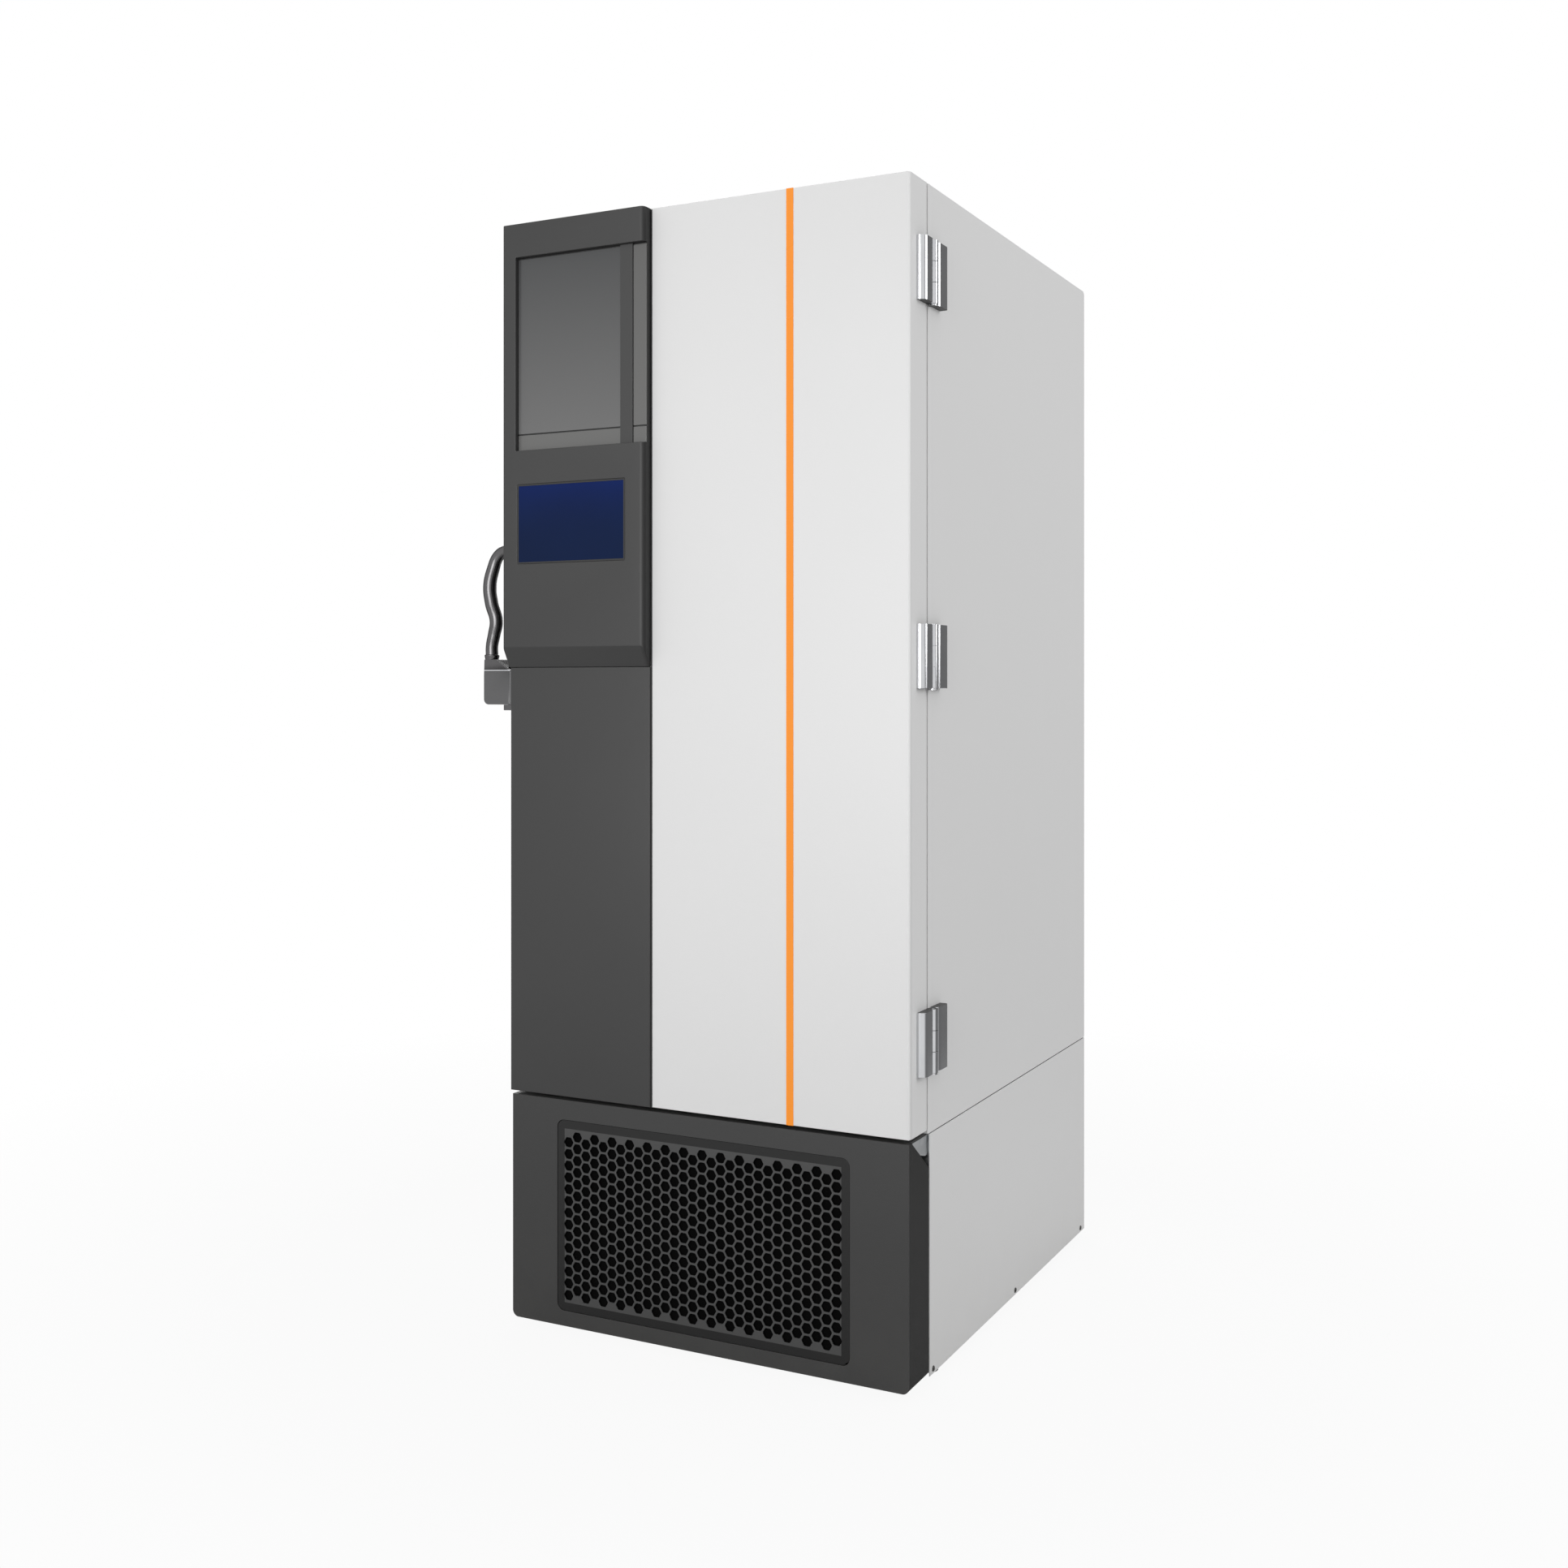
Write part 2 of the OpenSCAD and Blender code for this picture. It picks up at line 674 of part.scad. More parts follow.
module front_frame() color("whitesmoke") {
  x0 = left_x + sheet_t;
  x1 = right_x - sheet_t;
  z0 = bay_top + sheet_t;
  z1 = top_z - sheet_t;
  block(x0, x1, cab_y, flange_y, z0, col_z0);
  block(x0, x1, cab_y, flange_y, col_z1, z1);
  block(x0, col_x0, cab_y, flange_y, col_z0 + weld_gap, col_z1 - weld_gap);
  block(col_x1, x1, cab_y, flange_y, col_z0 + weld_gap, col_z1 - weld_gap);
}

module vacuum_panels() color("silver") {
  x0 = left_x + sheet_t;
  x1 = right_x - sheet_t;
  y0 = flange_y + vip_inset;
  y1 = rear_y - sheet_t;
  z0 = bay_top + sheet_t;
  z1 = top_z - sheet_t;
  block(x0, x0 + vip_t, y0, y1 - vip_inset, z0 + vip_inset, z1 - vip_inset);
  block(x1 - vip_t, x1, y0, y1 - vip_inset, z0 + vip_inset, z1 - vip_inset);
  block(x0 + vip_inset, x1 - vip_inset, y1 - vip_t, y1, z0 + vip_inset, z1 - vip_inset);
  block(x0 + vip_inset, x1 - vip_inset, y0, y1 - vip_inset, z1 - vip_t, z1);
}

module insulation_foam() color("khaki") {
  difference() {
    block(left_x + sheet_t, right_x - sheet_t, flange_y, rear_y - sheet_t, bay_top + sheet_t, top_z - sheet_t);
    block(lin_x0 - liner_t - coil_gap, lin_x1 + liner_t + coil_gap, flange_y - 1,
      lin_y1 + liner_t + coil_gap, lin_z0 - liner_t, lin_z1 + liner_t);
    block(col_x0 - flange_grip, col_x1 + flange_grip, flange_y - 1, flange_y + liner_t,
      col_z0 - flange_grip, col_z1 + flange_grip);
    vacuum_panels();
    // room behind the rounded upper rear corner of the outer sheets
    translate([left_x, rear_y - sheet_corner_r, top_z - sheet_corner_r])
      cube([body_w, sheet_corner_r + 1, sheet_corner_r + 1]);
  }
}

module inner_liner() color("lightsteelblue") {
  y0 = flange_y + liner_t + weld_gap;
  block(lin_x0 - liner_t, lin_x0, y0, lin_y1, lin_z0, lin_z1);
  block(lin_x1, lin_x1 + liner_t, y0, lin_y1, lin_z0, lin_z1);
  for (z = [lin_z0 - liner_t, lin_z1 + weld_gap])
    block(lin_x0 - liner_t, lin_x1 + liner_t, y0, lin_y1 + liner_t, z, z + liner_t - weld_gap);
  block(lin_x0 - liner_t, lin_x1 + liner_t, lin_y1 + weld_gap, lin_y1 + liner_t, lin_z0, lin_z1);
  fx0 = col_x0 - flange_grip;
  fx1 = col_x1 + flange_grip;
  block(fx0, lin_x0, flange_y, flange_y + liner_t, lin_z0, lin_z1);
  block(lin_x1, fx1, flange_y, flange_y + liner_t, lin_z0, lin_z1);
  block(fx0, fx1, flange_y, flange_y + liner_t, col_z0 - flange_grip, lin_z0 - weld_gap);
  block(fx0, fx1, flange_y, flange_y + liner_t, lin_z1 + weld_gap, col_z1 + flange_grip);
}

// One flat serpentine in X and Z: passes of length l, pitch apart
module serpentine(l, pitch) {
  for (i = [0 : coil_passes - 1]) {
    translate([0, 0, i * pitch]) rotate([0, 90, 0]) cylinder(h = l, r = coil_r);
    if (i < coil_passes - 1)
      translate([i % 2 == 0 ? l : 0, 0, (i + 0.5) * pitch]) rotate([90, 0, 0]) rotate([0, 0, i % 2 == 0 ? -90 : 90])
        rotate_extrude(angle = 180) translate([pitch / 2, 0]) circle(coil_r);
  }
}

module evaporator_coil() color("chocolate") {
  pitch = (lin_z1 - lin_z0 - 120) / (coil_passes - 1);
  off = liner_t + coil_r + seat;
  side_l = lin_y1 - flange_y - 2 * pitch;
  rear_l = lin_x1 - lin_x0 - pitch - 40;
  for (x = [lin_x0 - off, lin_x1 + off])
    translate([x, flange_y + pitch, lin_z0 + 60]) rotate([0, 0, 90]) serpentine(side_l, pitch);
  translate([lin_x0 + pitch / 2 + 20, lin_y1 + off, lin_z0 + 60]) serpentine(rear_l, pitch);
}

module shelf_supports() color("silver") {
  h = lin_z1 - lin_z0 - 60;
  for (s = [0, 1], y = shelf_ys) {
    x = s == 0 ? lin_x0 + seat : lin_x1 - seat - pilaster_t;
    side_plate(x, pilaster_t) difference() {
      translate([y - pilaster_w / 2, lin_z0 + 30]) square([pilaster_w, h]);
      for (z = [lin_z0 + 50 : slot_pitch : lin_z0 + 30 + h - 12])
        translate([y - 3, z]) square([6, 12]);
    }
    // a clip under each shelf
    for (z = shelf_zs) {
      cx = s == 0 ? lin_x0 + seat + pilaster_t + weld_gap : lin_x1 - seat - pilaster_t - weld_gap - 14;
      block(cx, cx + 14, y - 8, y + 8, z - shelf_t - seat - 3, z - shelf_t - seat);
    }
  }
}

module shelves() color("lightsteelblue") {
  gap = seat + pilaster_t + 1.2;
  x0 = lin_x0 + gap;
  x1 = lin_x1 - gap;
  y0 = flange_y + 24;
  y1 = lin_y1 - 16;
  for (z = shelf_zs) {
    block(x0, x1, y0, y1, z - shelf_t, z);
    block(x0, x1, y0, y0 + shelf_t, z - shelf_lip, z);
    block(x0, x1, y1 - shelf_t, y1, z - shelf_lip, z);
  }
}

// Inner doors

module inner_door(z0, z1) {
  x0 = col_x0 + inner_side_gap;
  x1 = col_x1 - inner_side_gap;
  difference() {
    translate([x0, inner_y, z0]) cube([x1 - x0, inner_t, z1 - z0]);
    for (z = [z0 - 1, z1 - inner_pin_len - 2])
      translate([inner_axis_x, inner_axis_y, z]) cylinder(h = inner_pin_len + 3, r = inner_pin_r + pin_clear);
    // raised border: the middle of the skin is pressed in
    translate([x0 + 30, inner_y - 1, z0 + 30]) cube([x1 - x0 - 60, 3, z1 - z0 - 60]);
  }
  // seal strips on the rear, clear of the pivot's swing
  sx0 = x0 + 5;
  sx1 = inner_axis_x + 3;
  sy = inner_y + inner_t + weld_gap;
  sy1 = flange_y - seat;
  for (x = [sx0, sx1 - 9]) block(x, x + 9, sy, sy1, z0 + 4, z1 - 4);
  for (z = [z0 + 4, z1 - 13]) block(sx0 + 9 + weld_gap, sx1 - 9 - weld_gap, sy, sy1, z, z + 9);
  // pull at the free edge
  zc = (z0 + z1) / 2;
  translate([x0 + 6, inner_y - seat, zc - 45]) rotate([90, 0, 0]) linear_extrude(9) difference() {
    round_rect(18, 90, 5);
    translate([6, 12]) square([6, 66]);
  }
}

inner_upper_z = [lin_mid + inner_mid_gap / 2, col_z1 - inner_end_gap];
inner_lower_z = [col_z0 + inner_end_gap, lin_mid - inner_mid_gap / 2];

module inner_door_upper() color("whitesmoke") inner_door(inner_upper_z[0], inner_upper_z[1]);
module inner_door_lower() color("whitesmoke") inner_door(inner_lower_z[0], inner_lower_z[1]);

module inner_hinge_brackets() color("silver") {
  t = 3;
  // top, middle and bottom plates from the collar's right wall, each with its pins
  for (z = [inner_upper_z[1] + inner_end_gap - t - weld_gap, lin_mid - t / 2, inner_lower_z[0] - inner_end_gap + weld_gap])
    block(inner_axis_x - 8, col_x1 - weld_gap, inner_axis_y - 7, inner_axis_y + 12, z, z + t);
  translate([inner_axis_x, inner_axis_y, inner_upper_z[1] - inner_pin_len])
    cylinder(h = inner_pin_len + inner_end_gap - 1, r = inner_pin_r);
  translate([inner_axis_x, inner_axis_y, inner_lower_z[0] - inner_end_gap + 1])
    cylinder(h = inner_pin_len + inner_end_gap - 1, r = inner_pin_r);
  translate([inner_axis_x, inner_axis_y, lin_mid - inner_mid_gap / 2 - inner_pin_len])
    cylinder(h = 2 * inner_pin_len + inner_mid_gap, r = inner_pin_r);
}

// Outer door hinges

// Plan of a hinge cover: a flat face between a wide front radius and a narrow rear one
module lobe(y0, w) {
  x1 = right_x + lobe_h;
  y1 = y0 + w;
  intersection() {
    translate([right_x, y0]) square([lobe_h, w]);
    union() {
      translate([x1 - lobe_front_r, y0 + lobe_front_r]) circle(lobe_front_r, $fn = 96);
      translate([x1 - lobe_rear_r, y1 - lobe_rear_r]) circle(lobe_rear_r, $fn = 96);
      translate([right_x, y0]) square([lobe_h - lobe_front_r, w]);
      translate([right_x, y0 + lobe_front_r]) square([lobe_h, w - lobe_front_r - lobe_rear_r]);
      translate([right_x, y0 + lobe_front_r]) square([lobe_h - lobe_rear_r, w - lobe_front_r]);
    }
  }
}

// One third of the knuckle with its web to the leaf at y0 to y1
module knuckle(y0, y1) {
  difference() {
    union() {
      translate([axis_x, axis_y]) circle(knuckle_r);
      translate([right_x + seat, y0]) square([hinge_out - seat, y1 - y0]);
    }
    translate([axis_x, axis_y]) circle(hinge_pin_r + pin_clear);
  }
}

module door_hinge_leaves() color([0.78, 0.79, 0.8]) {
  third = hinge_h / 3;
  for (z0 = hinge_zs) translate([0, 0, z0]) {
    linear_extrude(hinge_h) lobe(front_y + door_lobe_y, door_lobe_w);
    for (z = [0, 2 * third + knuckle_gap / 2]) translate([0, 0, z])
      linear_extrude(third - knuckle_gap / 2) knuckle(front_y + door_lobe_y + door_lobe_w - 8, axis_y);
  }
}

module cabinet_hinge_leaves() color([0.78, 0.79, 0.8]) {
  third = hinge_h / 3;
  y0 = axis_y + 10;
  for (z0 = hinge_zs) translate([0, 0, z0]) {
    linear_extrude(hinge_h) lobe(y0, cabinet_lobe_w);
    translate([0, 0, third + knuckle_gap / 2])
      linear_extrude(third - knuckle_gap) knuckle(axis_y, y0 + 6);
    // the pin, with a flat head below the lower knuckle
    translate([axis_x, axis_y, -2]) cylinder(h = hinge_h + 3, r = hinge_pin_r);
    translate([axis_x, axis_y, -3]) cylinder(h = 2.5, r = knuckle_r - 1);
  }
}

// Outer door

module door_plan(inset) {
  x0 = left_x + inset;
  x1 = right_x - inset;
  y0 = front_y + inset;
  y1 = front_y + door_t - door_liner_t;
  r = door_edge_r;
  translate([x0, y0 + r]) square([x1 - x0, y1 - y0 - r]);
  translate([x0 + r, y0]) square([x1 - x0 - 2 * r, r + 1]);
  for (x = [x0 + r, x1 - r]) translate([x, y0 + r]) circle(r);
}

module door_shell() color("white") {
  difference() {
    translate([0, 0, door_z]) linear_extrude(top_z - door_z) door_plan(0);
    translate([0, 0, door_z + sheet_t]) linear_extrude(top_z - door_z - 2 * sheet_t) {
      door_plan(sheet_t);
      translate([left_x + sheet_t, front_y + door_t / 2]) square([body_w - 2 * sheet_t, door_t]);
    }
  }
}

module door_foam() color("khaki") {
  translate([0, 0, door_z + sheet_t]) linear_extrude(top_z - door_z - 2 * sheet_t) door_plan(sheet_t);
}

module door_liner() color("whitesmoke") {
  front_plate(front_y + door_t - door_liner_t, door_liner_t)
    translate([left_x, door_z]) square([body_w, top_z - door_z]);
}

module door_gasket() color("dimgray") {
  y0 = front_y + door_t + weld_gap;
  y1 = cab_y - seat;
  x0 = left_x + gasket_inset;
  x1 = right_x - gasket_inset;
  z0 = door_z + gasket_inset;
  z1 = top_z - gasket_inset;
  for (x = [x0, x1 - gasket_w]) block(x, x + gasket_w, y0, y1, z0, z1);
  for (z = [z0, z1 - gasket_w])
    block(x0 + gasket_w + weld_gap, x1 - gasket_w - weld_gap, y0, y1, z, z + gasket_w);
}

module accent_strip() color("orange") {
  block(left_x + strip_x, left_x + strip_x + strip_w, front_y - strip_t, front_y, door_z, top_z);
}

module lower_panel() color([0.28, 0.28, 0.28]) {
  translate([0, 0, door_z]) linear_extrude(console_z0 - door_z)
    translate([left_x + 2, front_y - panel_proud]) difference() {
      round_rect(column_w, 2 * panel_proud, 2);
      translate([-1, panel_proud]) square([column_w + 2, panel_proud + 1]);
    }
}

// Console

// Side outline of the console moulding, shrunk by a wall
module console_profile(wall) {
  polygon([[front_y + (wall > 0 ? 1 : 0), console_z0 + wall], [front_y - panel_proud, console_z0 + wall],
           [console_front + wall, console_z0 + console_slope_h + wall / 2], [console_front + wall, top_z - wall],
           [front_y + (wall > 0 ? 1 : 0), top_z - wall]]);
}

module console_housing() color([0.3, 0.3, 0.3]) {
  difference() {
    intersection() {
      side_plate(console_x0 - 1, console_x1 - console_x0 + 2) console_profile(0);
      // plan with rounded front edges and a little draft on the right side
      translate([0, 0, console_z0 - 1]) linear_extrude(top_z - console_z0 + 2) union() {
        polygon([[console_x0, front_y + 1], [console_x0, console_front + 4], [console_x0 + 4, console_front],
                 [console_x1 - 7, console_front], [console_x1 - 3.5, console_front + 3.5],
                 [console_x1, front_y + 1]]);
        translate([console_x0 + 4, console_front + 4]) circle(4);
        translate([console_x1 - 7.5, console_front + 4]) circle(4);
      }
    }
    // hollow behind the front wall, below and beside the window
    side_plate(console_x0 + console_wall, column_w - 2 * console_wall) intersection() {
      console_profile(console_wall);
      translate([console_front, console_z0]) square([console_proud + 2, window_z0 - 8 - console_z0]);
    }
    // window recess, open to the right
    block(window_x0, console_x1 + 1, console_front - 1, pane_y + pane_t + seat, window_z0, window_z1);
    // opening for the touch screen
    block(console_x0 + screen_x, console_x0 + screen_x + screen_w, console_front - 1,
      console_front + console_wall + 1, screen_z0, screen_z1);
  }
}

module console_window() color([0.42, 0.43, 0.45]) {
  x1 = console_x1 - 4;
  mx = console_x0 + mullion_x;
  // main pane, side pane, upright band and foot strip
  block(window_x0 + seat, mx - weld_gap, pane_y, pane_y + pane_t, window_z0 + sill_h, window_z1 - seat);
  block(mx + mullion_w + weld_gap, x1, pane_y, pane_y + pane_t, window_z0 + sill_h, window_z1 - seat);
  block(mx, mx + mullion_w, pane_y - 2, pane_y + pane_t, window_z0 + sill_h, window_z1 - seat);
  block(window_x0 + seat, x1, pane_y, pane_y + pane_t, window_z0 + seat, window_z0 + sill_h - weld_gap);
}

module touch_screen() color([0.08, 0.14, 0.32]) {
  x0 = console_x0 + screen_x + seat;
  x1 = console_x0 + screen_x + screen_w - seat;
  block(x0, x1, console_front, console_front + console_wall + 2, screen_z0 + seat, screen_z1 - seat);
  // the display module and its board behind the glass
  block(x0 + 8, x1 - 8, console_front + console_wall + 2 + weld_gap, console_front + 14, screen_z0 + 8, screen_z1 - 8);
  block(x0 + 2, x1 - 2, console_front + 14 + weld_gap, console_front + 16, screen_z0 - 6, screen_z1 + 2);
}

// Handle

module handle_base() color([0.25, 0.25, 0.25]) {
  z0 = block_z0 - seat - 10;
  z1 = hub_z0 + upper_hub_h + seat + 10;
  side_plate(left_x - plate_t, plate_t) translate([front_y + 8, z0]) round_rect(58, z1 - z0, 6);
  for (z = [z0, z1 - 10]) block(left_x - plate_t - 22, left_x - plate_t + 1, pivot_ya - 10, pivot_ya + 10, z, z + 10);
  translate([pivot_x, pivot_ya, z0 + 1]) cylinder(h = 46, r = pivot_pin_r);
  translate([pivot_x, pivot_ya, z1 - 1 - 34]) cylinder(h = 34, r = pivot_pin_r);
}

// A bent stretch of the grip, from angle a0 to a1. A lapped one is thinner and runs on into its neighbours.
module grip_arc(x, z, r, a0, a1, lapped = false) {
  lap = lapped ? grip_lap / r * 180 / PI : 0;
  translate([x, grip_y, z]) rotate([90, 0, 0]) rotate([0, 0, a0 - lap])
    rotate_extrude(angle = a1 - a0 + 2 * lap, $fn = 180) translate([r, 0])
      circle(lapped ? bar_r - grip_step : bar_r, $fn = 48);
}

module handle_bar() color([0.55, 0.56, 0.57]) {
  difference() {
    union() {
      grip_arc(elbow_x, elbow_z, elbow_r, 90, 180 - bow_high, true);
      grip_arc(bow_x, bow_z, bow_r, 180 - bow_high, 180 + bow_low);
      grip_arc(neck_x, neck_z, neck_r, -neck_turn, bow_low, true);
      grip_arc(foot_bend_x, foot_bend_z, foot_bend_r, 180 - neck_turn, 180);
      translate([foot_bend_x - foot_bend_r, grip_y, block_z1 + seat])
        cylinder(h = grip_straight + grip_lap, r = bar_r - grip_step);
      // the top turns in to the hub
      translate([elbow_x, grip_y, hub_z1 - bar_r]) rotate([0, 90, 0])
        cylinder(h = pivot_x - elbow_x, r = bar_r, $fn = 48);
      translate([pivot_x, pivot_ya, hub_z0]) cylinder(h = upper_hub_h, r = pivot_hub_r);
    }
    translate([pivot_x, pivot_ya, hub_z0 - 1]) cylinder(h = upper_hub_h + 2, r = pivot_pin_r + pin_clear);
  }
}

module handle_block() color([0.36, 0.36, 0.37]) {
  y0 = pivot_ya - pivot_hub_r;
  difference() {
    intersection() {
      // plan: round about the pivot, straight elsewhere
      translate([0, 0, block_z0]) linear_extrude(block_h) {
        translate([pivot_x, pivot_ya]) circle(pivot_hub_r);
        translate([left_x - block_out, y0]) square([block_out - pivot_out, block_d]);
        translate([pivot_x, pivot_ya]) square([pivot_hub_r, block_d - pivot_hub_r]);
      }
      // front view: rounded lower outer corner, sloped top
      front_plate(y0 - 1, block_d + 2) {
        x0 = left_x - block_out;
        translate([x0 + block_corner, block_z0 + block_corner]) circle(block_corner);
        foot_x = foot_bend_x - foot_bend_r;
        socket_r = bar_r + socket_wall;
        polygon([[x0, block_z0 + block_corner], [x0 + block_corner, block_z0 + block_corner],
                 [x0 + block_corner, block_z0], [left_x, block_z0], [left_x, block_z1 - socket_h],
                 [foot_x + socket_r, block_z1], [max(x0 + 1, foot_x - socket_r), block_z1],
                 [x0, block_z1 - socket_h]]);
      }
    }
    translate([pivot_x, pivot_ya, block_z0 - 1]) cylinder(h = block_h + 2, r = pivot_pin_r + pin_clear);
    translate([left_x - block_out - 1, pivot_ya + 10, block_z0 + 40]) rotate([0, 90, 0])
      cylinder(h = 31, r = lock_r + pin_clear);
  }
  // the latch arm that reaches back over the striker
  block(pivot_x - 2, pivot_x + 4, y0 + block_d - 2, cab_y + 46, block_z0 + 16, block_z0 + 62);
}

module lock_barrel() color("silver") {
  translate([left_x - block_out, pivot_ya + 10, block_z0 + 40]) rotate([0, 90, 0]) difference() {
    cylinder(h = 29, r = lock_r);
    translate([-5, -1, -1]) cube([10, 2, 8]);
  }
}

module latch_striker() color("silver") {
  // a plate on the cabinet's side and the raised catch that the latch arm passes
  side_plate(left_x - 2.5, 2.5) translate([cab_y + 8, block_z0 + 2]) round_rect(56, 74, 5);
  side_plate(left_x - 11.3, 9) translate([cab_y + 18, block_z0 + 12]) round_rect(22, 54, 4);
}

// Base cover, grille and filter

module base_cover() color([0.27, 0.27, 0.27]) {
  w = cover_x1 - cover_x0;
  z1 = bay_top;
  difference() {
    union() {
      difference() {
        front_plate(front_y, cover_d) cover_outline(0);
        front_plate(front_y + cover_t, cover_d) cover_outline(cover_t);
      }
      // ledges that hold the filter's long edges
      for (z = [grille_z0 - cover_t - seat, grille_z0 + grille_h + seat])
        block(grille_x0, grille_x0 + grille_w, front_y + cover_t - 1, front_y + cover_t + filter_t + 4, z, z + cover_t);
      // lugs on the hinge side
      for (z = lug_zs) block(cover_ax - 7, cover_x1 - 1, cover_ay - 7, cover_ay + 8, z, z + lug_h);
    }
    front_plate(front_y - 1, cover_t + 2) translate([grille_x0, grille_z0]) round_rect(grille_w, grille_h, 14);
    // bevelled upper rear corner on the hinge side
    side_plate(cover_x1 - cover_t - 1, cover_t + 2)
      polygon([[front_y + cover_d - bevel_d, z1 + 1], [front_y + cover_d + 1, z1 + 1],
               [front_y + cover_d + 1, z1 - bevel_h], [front_y + cover_d, z1 - bevel_h],
               [front_y + cover_d - bevel_d, z1 - 2]]);
    for (z = lug_zs) translate([cover_ax, cover_ay, z - 1]) cylinder(h = lug_h + 2, r = cover_pin_r + pin_clear);
  }
}

// Front view of the cover, shrunk by a wall
module cover_outline(wall) {
  x0 = cover_x0 + wall;
  x1 = cover_x1 - wall;
  z0 = skirt_gap + wall;
  z1 = bay_top - wall;
  r = cover_corner - wall / 2;
  translate([x0, z0 + r]) square([x1 - x0, z1 - z0 - r]);
  translate([x0 + r, z0]) square([x1 - x0 - 2 * r, r + 1]);
  for (x = [x0 + r, x1 - r]) translate([x, z0 + r]) circle(r);
}

// Centres of the grille's holes: columns of hexagons, every second one half a step higher
function grille_holes(w, h) = let (
  step_x = hole_pitch * sqrt(3) / 2,
  across = (hole_pitch - hole_web) / sqrt(3),
  nx = floor((w - 2 * across) / step_x),
  nz = floor((h - 1.5 * hole_pitch + hole_web) / hole_pitch),
  x0 = -nx * step_x / 2,
  z0 = -(nz + 0.5) * hole_pitch / 2
) [for (i = [0 : nx], j = [0 : nz]) [x0 + i * step_x, z0 + (j + (i % 2) / 2) * hole_pitch]];

module front_grille() color([0.33, 0.33, 0.33]) {
  w = grille_w - 2 * seat;
  h = grille_h - 2 * seat;
  front_plate(front_y + 0.5, grille_t) translate([grille_x0 + seat, grille_z0 + seat]) difference() {
    round_rect(w, h, 14 - seat);
    translate([w / 2, h / 2]) for (p = grille_holes(w - 2 * grille_margin, h - 2 * grille_margin))
      translate(p) circle((hole_pitch - hole_web) / sqrt(3), $fn = 6);
  }
}

module air_filter() color([0.12, 0.12, 0.12]) {
  y = front_y + cover_t + seat;
  difference() {
    block(grille_x0 + 3, grille_x0 + grille_w - 3, y, y + filter_t, grille_z0 + seat, grille_z0 + grille_h - seat);
    block(grille_x0 + 15, grille_x0 + grille_w - 15, y - 1, y + 2, grille_z0 + 12, grille_z0 + grille_h - 12);
  }
}

// Refrigeration

module compressor(x, y) {
  z = pan_top + grommet_h;
  r = compressor_r;
  translate([x, y, z + 6]) {
    rotate_extrude() {
      polygon([[0, 0], [r - 26, 0], [r - 8, 12], [r, 34], [r, compressor_h - 60], [r - 6, compressor_h - 34],
               [r - 26, compressor_h - 10], [r - 52, compressor_h], [0, compressor_h]]);
      translate([r - 1, compressor_h / 2]) square([4, 7]);
    }
    translate([0, -r - 16, compressor_h / 2 - 30]) rotate([-90, 0, 0]) cylinder(h = 40, r = 26);
  }
  translate([x - 78, y - 78, z + 2]) linear_extrude(6) round_rect(156, 156, 16);
  for (dx = [-62, 62], dy = [-62, 62]) translate([x + dx, y + dy, pan_top]) difference() {
    cylinder(h = grommet_h + 2 - weld_gap, r = 12);
    translate([0, 0, -1]) cylinder(h = grommet_h + 4, r = 4);
  }
}

module compressors() color([0.13, 0.13, 0.14]) {
  for (x = compressor_xs) compressor(x, compressor_y);
}

module condenser() color("silver") {
  z0 = pan_top + seat;
  z1 = pan_top + bay_block_h;
  block(bay_x + 6, bay_x + bay_w - 6, condenser_y + 3, condenser_y + condenser_d - 3, z0 + 8, z1 - 8);
  for (x = [bay_x, bay_x + bay_w - 6 + weld_gap]) block(x, x + 6 - weld_gap, condenser_y, condenser_y + condenser_d, z0, z1);
  for (i = [0 : 5])
    translate([bay_x - weld_gap, condenser_y + condenser_d / 2, z0 + 30 + i * 38]) rotate([0, -90, 0])
      rotate([0, 0, 90]) rotate([90, 0, 0]) rotate_extrude(angle = 180) translate([11, 0]) circle(4.5);
}

module fan_shroud() color([0.2, 0.2, 0.2]) {
  r = fan_r + 4;
  difference() {
    union() {
      block(bay_x, bay_x + bay_w, shroud_y, shroud_y + 2, pan_top + seat, pan_top + bay_block_h);
      translate([fan_x, shroud_y, fan_z]) rotate([-90, 0, 0]) cylinder(h = 26, r = r + 3);
    }
    translate([fan_x, shroud_y - 1, fan_z]) rotate([-90, 0, 0]) cylinder(h = 30, r = r);
  }
}

module fan_blades() color([0.75, 0.76, 0.78]) {
  translate([fan_x, fan_y, fan_z]) rotate([-90, 0, 0]) difference() {
    union() {
      cylinder(h = 20, r = 28);
      for (i = [0 : fan_blades_n - 1]) rotate(i * 360 / fan_blades_n)
        intersection() {
          translate([0, 0, 10]) rotate([28, 0, 0]) translate([20, -34, -1]) cube([fan_r - 20, 68, 2]);
          cylinder(h = 20, r = fan_r);
        }
    }
    translate([0, 0, 6]) cylinder(h = 20, r = 5 + pin_clear);
  }
}

module fan_motor() color([0.6, 0.6, 0.6]) {
  translate([fan_x, fan_y + 8, fan_z]) rotate([-90, 0, 0]) cylinder(h = 30, r = 5);
  translate([fan_x, motor_y, fan_z]) rotate([-90, 0, 0]) cylinder(h = motor_l, r = motor_r);
  // pedestal down to the base pan
  block(fan_x - 30, fan_x + 30, fan_y + 50, fan_y + 54, pan_top + seat, fan_z);
  block(fan_x - 30, fan_x + 30, fan_y + 50, fan_y + 90, pan_top + seat, pan_top + seat + 3);
}

